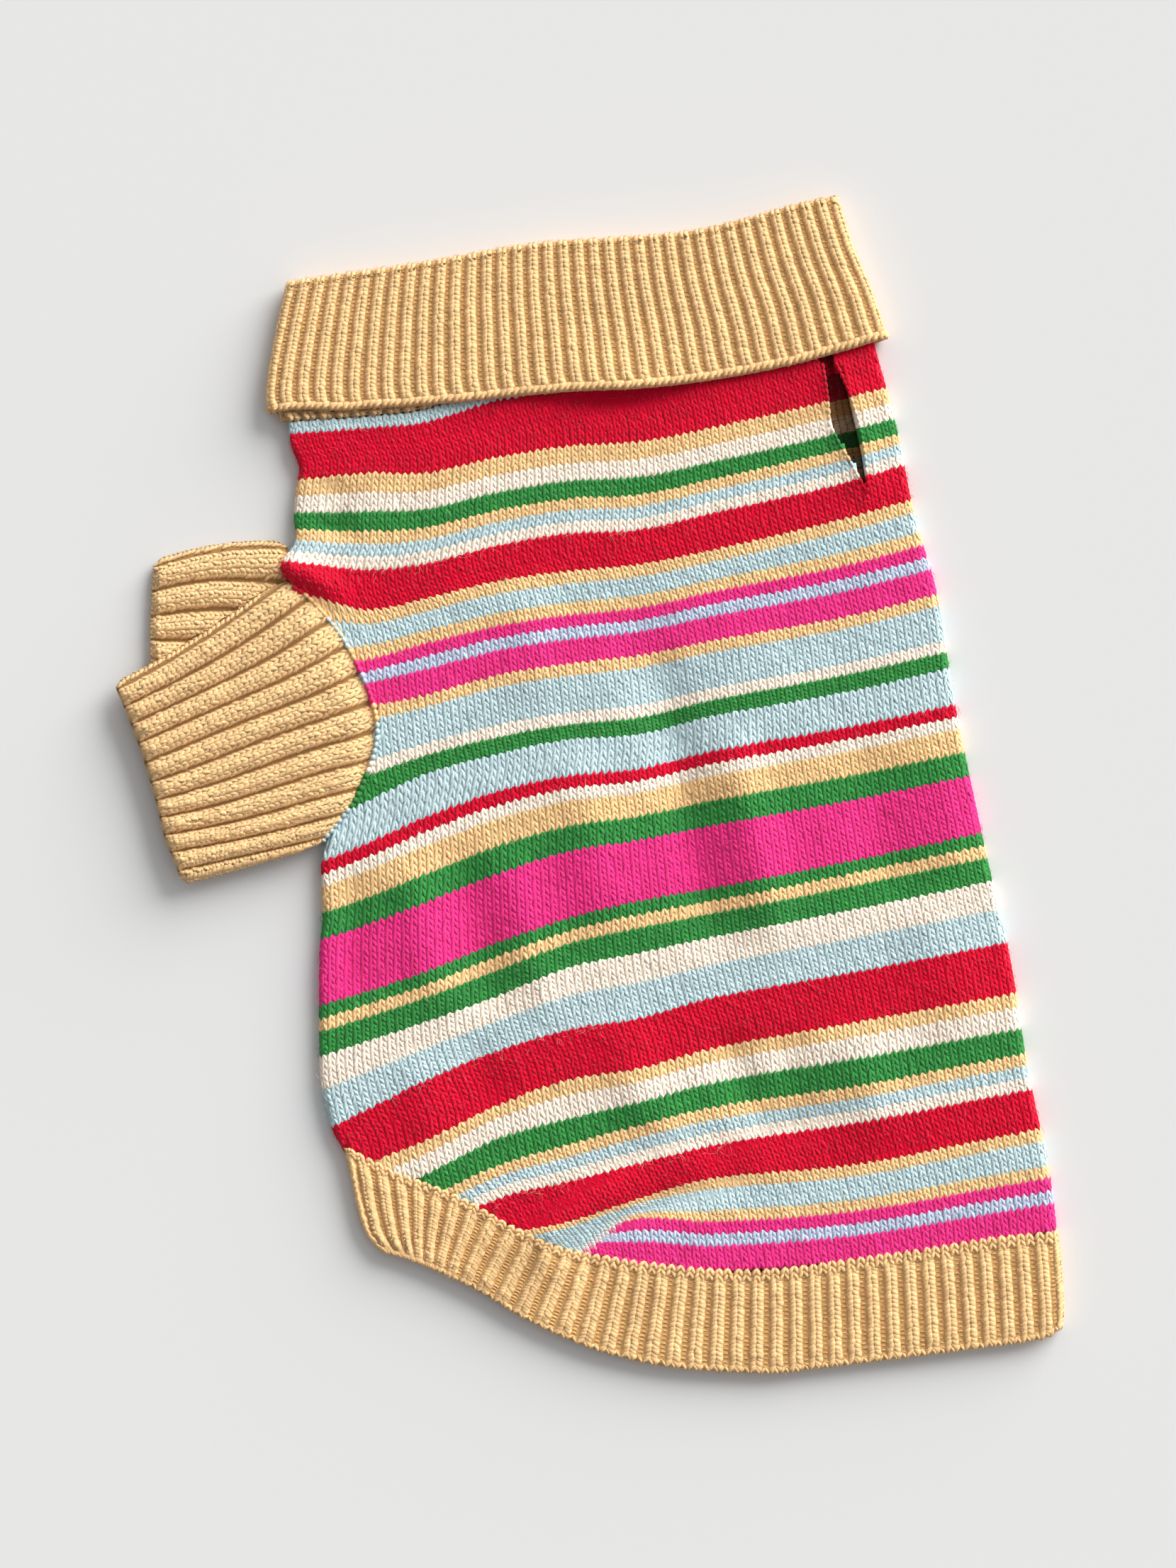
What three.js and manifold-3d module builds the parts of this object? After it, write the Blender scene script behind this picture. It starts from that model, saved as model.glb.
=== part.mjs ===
// A knitted dog sweater, laid flat on its side: striped body tube, folded ribbed collar,
// two ribbed leg sleeves, ribbed hem band and a leash slit beside the spine.
// Millimetres. +X runs toward the spine fold, +Y toward the collar and +Z up from the surface.
// Plan tables are measured from the middle of the laid garment.
import * as THREE from 'three';
import { mergeVertices } from 'three/addons/utils/BufferGeometryUtils.js';
import Module from 'manifold-3d';

const wasm = await Module();
wasm.setup();

// Driving sizes
const wall = 1.8;            // thickness of the knitted cloth
const layerGap = 0.3;        // air between two layers that lie on each other
const seamGap = 0.3;         // clearance between two pieces at a seam
const neckGap = 0.7;         // the same, measured down the cloth at the slanted neck and hem seams
const ribHeight = 1.1;       // how far a rib stands above the cloth between ribs
const collarRibs = 35;       // ribs across the near face of the collar
const hemRibs = 37;          // ribs across the near face of the hem band
const nearSleeveRibs = 10;
const farSleeveRibs = 8;
const collarFoldRadius = wall + layerGap / 2;   // outer radius where the collar turns over
const middle = 2 * wall + 1.5 * layerGap;       // height of the middle of four stacked layers
const bodyLoft = 6.3;        // height of the near layer away from its folds
const legZone = { top: 86, bottom: -24, fade: 12 };   // where the sleeves lift the chest fold

// One row per section of the body, from the collar down to the hem band: how many knitted
// courses lie above it, and its height y at nine stations across the garment.
const stations = [-97, -77, -57, -32, -7, 18, 43, 93, 143];
const sections = [
  { course: 0, y: [128, 128.5, 130, 137, 140.5, 142.5, 147, 157, 167] },
  { course: 10, y: [107, 109, 109, 115, 118.5, 120.5, 125, 134.5, 147.5] },
  { course: 25, y: [78, 76, 78, 84, 88, 89, 94.5, 105, 121] },
  { course: 31, y: [66, 61, 65, 71, 74.5, 77, 81.5, 93, 107.5] },
  { course: 38, y: [40, 43.5, 49, 55, 59, 61.5, 67, 77, 91] },
  { course: 46, y: [23, 27, 31, 38, 42, 45, 50, 59, 72] },
  { course: 60, y: [-14.5, -7, 2, 9, 14, 16, 23, 31.5, 43] },
  { course: 65, y: [-29, -21, -12, -3, 2.5, 5, 11, 20, 30.5] },
  { course: 77, y: [-56, -49.5, -42, -32, -24, -20, -15, -6, 4.5] },
  { course: 97, y: [-98, -91.5, -85, -76, -66, -60.5, -55, -46, -35] },
  { course: 117, y: [-144.5, -134, -126, -114, -105, -101, -94, -85, -75] },
  { course: 138, y: [-192.5, -182, -172, -159.5, -154, -146, -139, -134, -124.5] },
  { course: 154, y: [-205, -194, -185, -175, -165, -169, -171, -167.5, -160] },
];

// Outlines as pairs of height y and place x
const chestOutline = [
  [129, -107.5], [125, -107], [120, -106], [109, -102.5], [104, -103], [92.5, -104], [80, -104.5],
  [73, -105], [65, -101], [44, -97], [24, -95], [1, -93], [-16, -91.5], [-27.5, -94], [-46, -93.5],
  [-59, -94.5], [-94, -94.5], [-105, -94], [-121, -90], [-129, -86], [-146, -82.5], [-158, -79],
  [-164, -74.5], [-168, -71],
];
const spineOutline = [
  [160, 101.2], [146, 103.4], [121, 109.5], [94, 115], [66, 123], [29, 129], [-24, 140], [-61, 148.5],
  [-101, 155], [-140.5, 163], [-174, 166.5], [-191, 167.5],
];
const collarChestOutline = [[180, -105], [157, -110], [136, -113], [126, -110]];
const collarSpineOutline = [[208, 87], [187.5, 93.5], [172, 100], [158, 104.6]];

// Lines across the garment as pairs of place x and height y
const collarFold = [
  [-105, 178], [-85, 181], [-57, 185], [-19, 191.5], [15, 194], [36, 196], [54, 200], [72, 205],
  [84, 207.5], [88, 207.5],
];
const collarEdge = [
  [-110, 126], [-97, 126.5], [-77, 129], [-57, 129], [-32, 133], [-7, 136.5], [18, 137], [43, 141],
  [68, 146], [93, 153], [104, 157],
];
const hemSeam = [
  [-90, -125], [-70, -135.5], [-45, -145.5], [-25, -156.5], [-6.5, -164], [16, -168], [43, -171],
  [68, -171], [93, -167.5], [118, -164], [143, -160], [166, -158],
];
const hemEdge = [
  [-73, -164.5], [-63, -168], [-49, -174], [-37, -180], [-23, -189], [-8.5, -196], [6, -201.5],
  [26, -206], [46, -208], [68, -208.5], [80, -207], [105, -204], [148, -198.5], [167, -195],
];
const hemLean = [[0, 0], [0.09, -0.068], [0.27, -0.09], [0.4, -0.05], [0.52, -0.03], [0.8, -0.01], [1, 0]];

// The leash slit in the near layer
const slit = [
  [84, 152], [83.5, 147], [84, 136], [85, 130.5], [86, 122], [89, 116.5], [93, 110], [96, 105.5],
  [97.3, 112], [96.6, 119], [95, 126.5], [93, 133], [90, 141], [86.5, 150],
];

// Sleeve edges, one row per point across from the collar side to the hem side
const nearSleeve = [
  { seam: [-104.8, 70.6], under: [-105.4, 70.2], cuff: [-165, 32] },
  { seam: [-97.6, 65.6], under: [-103.6, 56], cuff: [-161, 22] },
  { seam: [-84.6, 46.5], under: [-101.2, 34], cuff: [-156, 9] },
  { seam: [-74.9, 20], under: [-99, 14], cuff: [-151.5, -6] },
  { seam: [-81.6, -3.2], under: [-96.8, -6], cuff: [-148.6, -19] },
  { seam: [-92.2, -19.4], under: [-95.6, -20], cuff: [-143.6, -31.5] },
];
const farSleeve = [
  { seam: [-105.6, 81.6], under: [-106.2, 81.6], cuff: [-152.6, 75] },
  { seam: [-95.6, 75], under: [-105, 66], cuff: [-153.4, 62] },
  { seam: [-82.6, 53.5], under: [-103, 44], cuff: [-153.6, 48] },
  { seam: [-76.6, 30], under: [-100.4, 20], cuff: [-152.6, 34] },
  { seam: [-81.6, 2], under: [-98, 0], cuff: [-151, 20] },
  { seam: [-92.4, -17.6], under: [-95.8, -18], cuff: [-149, 9] },
];

// The main folds of the near layer: soft ridges (+) and troughs (-) between two points
const folds = [
  { from: [14, 62], to: [62, -62], width: 13, height: -1.3 },
  { from: [60, -55], to: [72, -125], width: 13, height: -0.9 },
  { from: [50, 50], to: [88, -92], width: 13, height: 0.8 },
  { from: [84, 42], to: [112, -84], width: 11, height: -0.8 },
  { from: [-30, 14], to: [-20, -74], width: 14, height: 0.8 },
  { from: [-36, -22], to: [-50, -86], width: 9, height: -1 },
  { from: [-52, -24], to: [-63, -82], width: 9, height: 0.8 },
  { from: [-82, -34], to: [-84, -84], width: 12, height: -0.9 },
  { from: [-72, -116], to: [-38, -108], width: 8, height: -0.8 },
  { from: [-14, -163], to: [30, -140], width: 6, height: 1.8 },
  { from: [6, -163], to: [52, -137], width: 7, height: -1.6 },
  { from: [-88, 104], to: [-92, 84], width: 8, height: -1.1 },
  { from: [-40, 128], to: [-50, 66], width: 12, height: 0.7 },
];

// Smooth step from 0 at the first edge to 1 at the second
function fade(first, second, value) {
  const t = Math.min(1, Math.max(0, (value - first) / (second - first)));
  return t * t * (3 - 2 * t);
}

// A smooth curve through [place, value] pairs, straight beyond its ends
function curve(pairs, place) {
  const up = pairs[pairs.length - 1][0] > pairs[0][0];
  const list = up ? pairs : [...pairs].reverse();
  const last = list.length - 1;
  let k = 0;
  while (k < last - 1 && place > list[k + 1][0]) k += 1;
  const [x0, y0] = list[k];
  const [x1, y1] = list[k + 1];
  const slope = (i) => {
    const a = list[Math.max(0, i - 1)];
    const b = list[Math.min(last, i + 1)];
    return (b[1] - a[1]) / (b[0] - a[0]);
  };
  if (place < x0) return y0 + slope(k) * (place - x0);
  if (place > x1) return y1 + slope(k + 1) * (place - x1);
  const width = x1 - x0;
  const t = (place - x0) / width;
  const stay = t * t * (2 * t - 3);
  return y0 * (1 + stay) - y1 * stay
    + width * slope(k) * t * (t - 1) * (t - 1) + width * slope(k + 1) * t * t * (t - 1);
}

// Height of a knitted course at one place across
const sectionLines = sections.map((row) => row.y.map((y, i) => [stations[i], y]));
function courseHeight(course, x) {
  let k = 0;
  while (k < sections.length - 2 && course > sections[k + 1].course) k += 1;
  const share = (course - sections[k].course) / (sections[k + 1].course - sections[k].course);
  const above = curve(sectionLines[k], x);
  const below = curve(sectionLines[k + 1], x);
  return above + (below - above) * share;
}

// The point at the share u across, on a line y(x) that runs between two outlines
function across(u, line, chest, spine, chestInset, spineInset) {
  let left = curve(chest, line(-90)) + chestInset;
  let right = curve(spine, line(120)) - spineInset;
  for (let k = 0; k < 5; k += 1) {
    left = curve(chest, line(left)) + chestInset;
    right = curve(spine, line(right)) - spineInset;
  }
  const x = left + (right - left) * u;
  return [x, line(x)];
}

// Bends of the near layer: the sum of the soft folds at one place
function foldHeight(x, y) {
  let sum = 0;
  for (const { from, to, width, height } of folds) {
    const along = [to[0] - from[0], to[1] - from[1]];
    const length = Math.hypot(...along);
    const t = ((x - from[0]) * along[0] + (y - from[1]) * along[1]) / (length * length);
    const side = ((x - from[0]) * along[1] - (y - from[1]) * along[0]) / length;
    const ends = fade(-0.25, 0.2, t) * fade(1.25, 0.8, t);
    sum += height * ends * Math.exp(-(side * side) / (width * width));
  }
  return sum;
}

// How much the folded collar (1) or nothing (0) holds the layers together at this place
function neckHold(x, y) {
  return fade(15, 3, curve(collarEdge, x) - y);
}

// How much the sleeves under the chest fold lift it
function chestLift(x, y) {
  const along = fade(legZone.top + legZone.fade, legZone.top, y)
    * fade(legZone.bottom - legZone.fade, legZone.bottom, y);
  return along * fade(14, 3, x - curve(chestOutline, y));
}

const stackLow = wall + layerGap;
const stackHigh = middle + layerGap / 2 + wall;

function bodyUnder(x, y) {
  return stackLow * Math.max(neckHold(x, y), chestLift(x, y));
}

function bodyOver(x, y) {
  const inland = Math.min(x - curve(chestOutline, y), curve(spineOutline, y) - x);
  const open = stackHigh + (bodyLoft - stackHigh) * fade(2, 22, inland)
    + foldHeight(x, y) * fade(2, 14, inland);
  const hold = Math.max(neckHold(x, y), chestLift(x, y));
  const seamHold = fade(10, 1, y - curve(hemSeam, x));
  return open + (stackHigh - open) * Math.max(hold, seamHold * fade(70, 95, Math.abs(x - 38)));
}

// Columns across the near face: plain, or with ribs of a valley and two or three raised columns
function plainColumns(count) {
  return Array.from({ length: count + 1 }, (_, i) => ({ u: i / count, rib: 0 }));
}
function ribColumns(count, shape) {
  const columns = [];
  for (let k = 0; k < count; k += 1) {
    for (const [place, height] of shape) columns.push({ u: (k + place) / count, rib: height });
  }
  columns.push({ u: 1, rib: 0 });
  return columns;
}
const narrowRib = [[0, 0], [0.26, 1], [0.74, 1]];
const wideRib = [[0, 0], [0.2, 0.85], [0.5, 1], [0.8, 0.85]];

// One closed ring of a flattened tube: across the top, round the spine fold, back under, round
// the chest fold. Each point keeps its share of the way round, which pairs it with other rings.
const foldSteps = [0.25, 0.5, 0.75];
function ring(top, bottom, columns, columnsUnder) {
  const points = columns.map(({ u, rib }) => ({ share: 0.4 * u, at: top(u, rib) }));
  const turn = (upper, lower, inner, share, reversed) => {
    const out = new THREE.Vector3(upper.x - inner.x, upper.y - inner.y, 0).normalize();
    const centre = upper.clone().add(lower).multiplyScalar(0.5);
    const radius = (upper.z - lower.z) / 2;
    for (const step of foldSteps) {
      const angle = Math.PI * (reversed ? 1 - step : step);
      const at = centre.clone().addScaledVector(out, radius * Math.sin(angle));
      at.z += radius * Math.cos(angle);
      points.push({ share: share + 0.1 * step, at });
    }
  };
  turn(top(1, 0), bottom(1), top(0.98, 0), 0.4, false);
  for (let i = 0; i <= columnsUnder; i += 1) {
    points.push({ share: 0.5 + 0.4 * (i / columnsUnder), at: bottom(1 - i / columnsUnder) });
  }
  turn(top(0, 0), bottom(0), top(0.02, 0), 0.9, true);
  return points;
}

// Joins rings, each to the next and the last to the first, into one closed solid
function closedSolid(rings) {
  const positions = [];
  const numbered = rings.map((points) => points.map(({ share, at }) => {
    positions.push(at.x, at.y, at.z);
    return { share, index: positions.length / 3 - 1 };
  }));
  const faces = [];
  numbered.forEach((a, r) => {
    const b = numbered[(r + 1) % numbered.length];
    let i = 0;
    let j = 0;
    while (i < a.length || j < b.length) {
      const nextA = i + 1 < a.length ? a[i + 1].share : a[0].share + 1;
      const nextB = j + 1 < b.length ? b[j + 1].share : b[0].share + 1;
      const cornerA = a[i % a.length].index;
      const cornerB = b[j % b.length].index;
      if (j >= b.length || (i < a.length && nextA <= nextB)) {
        faces.push(cornerA, a[(i + 1) % a.length].index, cornerB);
        i += 1;
      } else {
        faces.push(cornerA, b[(j + 1) % b.length].index, cornerB);
        j += 1;
      }
    }
  });
  const geometry = new THREE.BufferGeometry();
  geometry.setAttribute('position', new THREE.Float32BufferAttribute(positions, 3));
  geometry.setIndex(signedVolume(positions, faces) < 0 ? turnedOver(faces) : faces);
  return geometry;
}

function signedVolume(positions, faces) {
  const corner = (i) => new THREE.Vector3().fromArray(positions, 3 * faces[i]);
  let sum = 0;
  for (let i = 0; i < faces.length; i += 3) sum += corner(i).dot(corner(i + 1).cross(corner(i + 2)));
  return sum;
}

function turnedOver(faces) {
  const turned = [];
  for (let i = 0; i < faces.length; i += 3) turned.push(faces[i], faces[i + 2], faces[i + 1]);
  return turned;
}

// A flattened tube of one wall: outer rings down its length, then coarser inner rings back
function flatTube({ top, bottom, rows, columns, columnsUnder, innerRows, innerColumns }) {
  const rings = [];
  for (let j = 0; j <= rows; j += 1) {
    const v = j / rows;
    rings.push(ring((u, rib) => top(u, v, rib), (u) => bottom(u, v), columns, columnsUnder));
  }
  const lowered = (p) => p.setZ(p.z - wall);
  const raised = (p) => p.setZ(p.z + wall);
  for (let j = innerRows; j >= 0; j -= 1) {
    const v = j / innerRows;
    rings.push(ring((u) => lowered(top(u, v, 0)), (u) => raised(bottom(u, v)),
      plainColumns(innerColumns), innerColumns));
  }
  return closedSolid(rings);
}

function toManifold(geometry) {
  const bare = geometry.clone();
  bare.deleteAttribute('normal');
  bare.deleteAttribute('uv');
  const merged = mergeVertices(bare);
  return new wasm.Manifold(new wasm.Mesh({
    numProp: 3,
    vertProperties: Float32Array.from(merged.attributes.position.array),
    triVerts: Uint32Array.from(merged.index.array),
  }));
}

function toGeometry(solid) {
  const { vertProperties, triVerts } = solid.getMesh();
  const geometry = new THREE.BufferGeometry();
  geometry.setAttribute('position', new THREE.BufferAttribute(Float32Array.from(vertProperties), 3));
  geometry.setIndex(new THREE.BufferAttribute(Uint32Array.from(triVerts), 1));
  return geometry;
}

// An upright cutter of one outline between two heights
function cutter(outline, low, high) {
  const shape = new THREE.Shape(outline.map(([x, y]) => new THREE.Vector2(x, y)));
  const block = new THREE.ExtrudeGeometry(shape, { depth: high - low, bevelEnabled: false, steps: 1 });
  return toManifold(block.translate(0, 0, low));
}

// The hole for a sleeve: just outside the sleeve's seam, and back along the chest fold
function armhole(table) {
  const foldRadius = (stackHigh - stackLow) / 2;
  const strip = (y) => curve(chestOutline, y) + foldRadius;
  const steps = 28;
  const seam = [];
  for (let i = 0; i <= steps; i += 1) {
    const [x, y] = sleeveRow(table, 'seam', i / steps);
    const [x0, y0] = sleeveRow(table, 'seam', i / steps - 0.01);
    const [x1, y1] = sleeveRow(table, 'seam', i / steps + 0.01);
    const length = Math.hypot(x1 - x0, y1 - y0);
    const px = x + seamGap * (y0 - y1) / length;
    const py = y + seamGap * (x1 - x0) / length;
    if (px > strip(py) + 0.2) seam.push([px, py]);
  }
  const first = seam[0][1];
  const last = seam[seam.length - 1][1];
  const back = [0, 0.25, 0.5, 0.75, 1].map((t) => last + (first - last) * t);
  return [...seam, ...back.map((y) => [strip(y), y])];
}

// Body: every ring blends from the neck line to the slanted hem seam
function bodyPlan(u, course) {
  const line = (x) => courseHeight(course, x);
  const radius = stackHigh / 2;
  const chestInset = radius - (stackLow / 2) * chestLift(-95, line(-95));
  return across(u, line, chestOutline, spineOutline, chestInset, radius);
}

function lastCourse(u) {
  let low = 90;
  let high = 160;
  for (let k = 0; k < 20; k += 1) {
    const course = (low + high) / 2;
    const [x, y] = bodyPlan(u, course);
    if (y > curve(hemSeam, x)) low = course;
    else high = course;
  }
  return low;
}

function bodyGeometry() {
  const place = (u, v) => bodyPlan(u, v * lastCourse(u));
  const top = (u, v) => {
    const [x, y] = place(u, v);
    return new THREE.Vector3(x, y, bodyOver(x, y));
  };
  const bottom = (u, v) => {
    const [x, y] = place(u, v);
    return new THREE.Vector3(x, y, bodyUnder(x, y));
  };
  const tube = toManifold(flatTube({
    top, bottom, rows: 36, columns: plainColumns(32), columnsUnder: 20, innerRows: 15, innerColumns: 22,
  }));
  const above = 20;
  const below = -5;
  return toGeometry(tube
    .subtract(cutter(armhole(nearSleeve), middle, above))
    .subtract(cutter(armhole(farSleeve), below, middle))
    .subtract(cutter(slit, middle, above)));
}

// Collar: one cloth, up inside from the neck seam, over the fold and down outside to its edge
function collarGeometry() {
  const outer = middle;                                  // from the middle plane to the outside
  const neckLine = (x) => courseHeight(0, x) + neckGap;
  const edgeLine = (x) => curve(collarEdge, x);
  const foldLine = (x) => curve(collarFold, x) - collarFoldRadius;
  const layer = (from, v, reach, lift, columns) => {
    const line = (x) => from(x) + (foldLine(x) - from(x)) * v + reach;
    const place = (u) => across(u, line, collarChestOutline, collarSpineOutline, outer, outer);
    const top = (u, rib) => new THREE.Vector3(...place(u), middle + lift + ribHeight * rib);
    const bottom = (u) => new THREE.Vector3(...place(u), middle - lift);
    return ring(top, bottom, columns, 16);
  };
  const plain = plainColumns(24);
  const ribbed = ribColumns(collarRibs, narrowRib);
  const inside = layerGap / 2;
  const rings = [0, 0.35, 0.7, 1].map((v) => layer(neckLine, v, 0, inside, plain));
  for (const turn of [-60, -30, 0, 30, 60]) {
    const angle = THREE.MathUtils.degToRad(turn);
    const reach = collarFoldRadius * Math.cos(angle);
    const lift = inside + collarFoldRadius * (1 + Math.sin(angle));
    const ribs = turn < 0 ? plain : ribbed.map(({ u, rib }) => ({ u, rib: rib * turn / 90 }));
    rings.push(layer(edgeLine, 1, reach, lift, ribs));
  }
  for (const v of [1, 0.75, 0.5, 0.25, 0]) rings.push(layer(edgeLine, v, 0, outer, ribbed));
  for (const v of [0, 0.5, 1]) rings.push(layer(edgeLine, v, 0, outer - wall, plain));
  for (const v of [1, 0.5, 0]) rings.push(layer(neckLine, v, 0, inside + wall, plain));
  return closedSolid(rings);
}

// Hem band: from the slanted seam to its free edge
function hemGeometry() {
  const thickAtEdge = 5.5;
  const place = (u, v) => {
    const line = (x) => {
      const seam = curve(hemSeam, x) - neckGap;
      return seam + (curve(hemEdge, x) - seam) * v;
    };
    return across(u + curve(hemLean, u) * v, line, chestOutline, spineOutline, stackHigh / 2, stackHigh / 2);
  };
  const top = (u, v, rib) => {
    const [x, y] = place(u, v);
    const start = bodyOver(x, curve(hemSeam, x));
    return new THREE.Vector3(x, y, start + (thickAtEdge - start) * fade(0, 0.7, v) + ribHeight * rib);
  };
  const bottom = (u, v) => new THREE.Vector3(...place(u, v), 0);
  return flatTube({
    top, bottom, rows: 5, columns: ribColumns(hemRibs, narrowRib), columnsUnder: 24, innerRows: 3, innerColumns: 24,
  });
}

// A sleeve: one layer starts at the armhole's spine side, the other beside the chest fold
function sleeveRow(table, key, u) {
  const last = table.length - 1;
  const read = (axis) => curve(table.map((row, i) => [i / last, row[key][axis]]), u);
  return [read(0), read(1)];
}
function sleevePoint(table, start, u, v) {
  const [x0, y0] = sleeveRow(table, start, u);
  const [x1, y1] = sleeveRow(table, 'cuff', u);
  const sag = 4 * v * (1 - v);
  return [x0 + (x1 - x0) * v, y0 + (y1 - y0) * v - 2.2 * sag * (1 - u)];
}

function nearSleeveGeometry() {
  const low = middle + layerGap / 2;
  const high = low + 2 * wall + layerGap;
  const top = (u, v, rib) => {
    const [x, y] = sleevePoint(nearSleeve, 'seam', u, v);
    const dip = 1.5 * fade(0.25, 0.5, u) * fade(0.92, 0.7, u) * fade(0.16, 0, v);
    return new THREE.Vector3(x, y, high - dip + ribHeight * rib);
  };
  const bottom = (u, v) => new THREE.Vector3(...sleevePoint(nearSleeve, 'under', u, v), low);
  return flatTube({
    top, bottom, rows: 9, columns: ribColumns(nearSleeveRibs, wideRib), columnsUnder: 8, innerRows: 7, innerColumns: 10,
  });
}

function farSleeveGeometry() {
  const high = 2 * wall + layerGap;
  // its ribs lie flat where the near sleeve covers it
  const clearOfNear = (x, y) => fade(1, 6, y - (70.6 + (x + 105) * 0.64));
  const top = (u, v, rib) => {
    const [x, y] = sleevePoint(farSleeve, 'under', u, v);
    return new THREE.Vector3(x, y, high + ribHeight * rib * clearOfNear(x, y));
  };
  const bottom = (u, v) => new THREE.Vector3(...sleevePoint(farSleeve, 'seam', u, v), 0);
  return flatTube({
    top, bottom, rows: 7, columns: ribColumns(farSleeveRibs, wideRib), columnsUnder: 10, innerRows: 5, innerColumns: 10,
  });
}

const tanWool = { color: 0xdcb47a, roughness: 0.95, metalness: 0 };
const blueWool = { color: 0xbdd6de, roughness: 0.95, metalness: 0 };

const pieces = [
  ['body', bodyGeometry(), blueWool],
  ['collar', collarGeometry(), tanWool],
  ['hem_band', hemGeometry(), tanWool],
  ['sleeve_near', nearSleeveGeometry(), tanWool],
  ['sleeve_far', farSleeveGeometry(), tanWool],
];

const sweater = new THREE.Group();
for (const [name, geometry, look] of pieces) {
  const mesh = new THREE.Mesh(geometry, new THREE.MeshStandardMaterial(look));
  mesh.name = name;
  sweater.add(mesh);
}

// The origin is the middle of the laid garment, on the surface that it rests on
const box = new THREE.Box3().setFromObject(sweater);
sweater.position.set(-(box.min.x + box.max.x) / 2, -(box.min.y + box.max.y) / 2, -box.min.z);
sweater.updateMatrixWorld(true);

export default sweater;
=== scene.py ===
# A knitted dog sweater, laid flat on its side on a white surface.
# Plan sizes are in millimetres from the middle of the laid garment: x runs toward the spine fold,
# y toward the collar, z up. They turn to metres only where a mesh is made.
import math

import bpy
import bmesh
import numpy as np
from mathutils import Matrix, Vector


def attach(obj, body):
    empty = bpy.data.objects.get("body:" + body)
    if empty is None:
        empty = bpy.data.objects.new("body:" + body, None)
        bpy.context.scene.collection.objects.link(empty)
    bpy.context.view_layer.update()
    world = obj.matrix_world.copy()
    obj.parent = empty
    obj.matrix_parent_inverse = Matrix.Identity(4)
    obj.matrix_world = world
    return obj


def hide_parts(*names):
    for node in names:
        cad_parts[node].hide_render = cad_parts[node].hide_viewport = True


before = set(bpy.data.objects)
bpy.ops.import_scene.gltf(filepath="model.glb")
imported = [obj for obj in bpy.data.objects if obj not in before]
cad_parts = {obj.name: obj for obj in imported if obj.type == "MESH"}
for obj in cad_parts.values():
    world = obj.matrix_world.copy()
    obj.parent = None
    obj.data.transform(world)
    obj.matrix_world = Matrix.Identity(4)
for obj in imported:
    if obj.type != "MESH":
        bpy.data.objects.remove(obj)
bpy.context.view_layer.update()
print("packed part loaded")

planToPart = np.array([-0.8666, 0.4165, 0.0])  # mm, from the plan's middle to the part's origin

cloth = {
    "wall": 1.8,        # thickness of the knitted cloth
    "layerGap": 0.3,    # air between layers that lie on each other
    "neckGap": 0.7,     # between the body and its ribbed ends
    "loft": 6.3,        # height of the near layer away from the folds
    "stitchDrop": 0.1,  # how far the ground lies under the tops of the stitches
}
middle = 2 * cloth["wall"] + 1.5 * cloth["layerGap"]
stackLow = cloth["wall"] + cloth["layerGap"]
stackHigh = middle + cloth["layerGap"] / 2 + cloth["wall"]


def linear(code):
    channels = [int(code[i:i + 2], 16) / 255 for i in (1, 3, 5)]
    return [c / 12.92 if c <= 0.04045 else ((c + 0.055) / 1.055) ** 2.4 for c in channels]


yarns = {
    "tan": "#F1C78F", "red": "#D4042E", "cream": "#F8E8D6", "green": "#358A41",
    "blue": "#BED4D8", "pink": "#F03488", "lavender": "#BEC8DE",
}
yarnColours = {name: np.array(linear(code)) for name, code in yarns.items()}


def fade(first, second, value):  # smooth step from 0 at the first to 1 at the second
    t = np.clip((np.asarray(value, float) - first) / (second - first), 0, 1)
    return t * t * (3 - 2 * t)


def curve(pairs, place):  # a smooth curve through the pairs, straight beyond its ends
    table = np.array(sorted(pairs), float)
    xs, ys = table[:, 0], table[:, 1]
    place = np.asarray(place, float)
    slopes = np.empty_like(ys)
    slopes[1:-1] = (ys[2:] - ys[:-2]) / (xs[2:] - xs[:-2])
    slopes[0] = (ys[1] - ys[0]) / (xs[1] - xs[0])
    slopes[-1] = (ys[-1] - ys[-2]) / (xs[-1] - xs[-2])
    k = np.clip(np.searchsorted(xs, place) - 1, 0, len(xs) - 2)
    width = xs[k + 1] - xs[k]
    t = (place - xs[k]) / width
    stay = t * t * (2 * t - 3)
    value = (ys[k] * (1 + stay) - ys[k + 1] * stay
             + width * slopes[k] * t * (t - 1) ** 2 + width * slopes[k + 1] * t * t * (t - 1))
    value = np.where(place < xs[0], ys[0] + slopes[0] * (place - xs[0]), value)
    return np.where(place > xs[-1], ys[-1] + slopes[-1] * (place - xs[-1]), value)


def addNode(tree, kind, settings=None, links=None):
    node = tree.nodes.new("ShaderNode" + kind)
    for key, value in (settings or {}).items():
        if isinstance(key, int) or key in node.inputs:
            node.inputs[key].default_value = value
        else:
            setattr(node, key, value)
    for key, socket in (links or {}).items():
        tree.links.new(socket, node.inputs[key])
    return node


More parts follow.
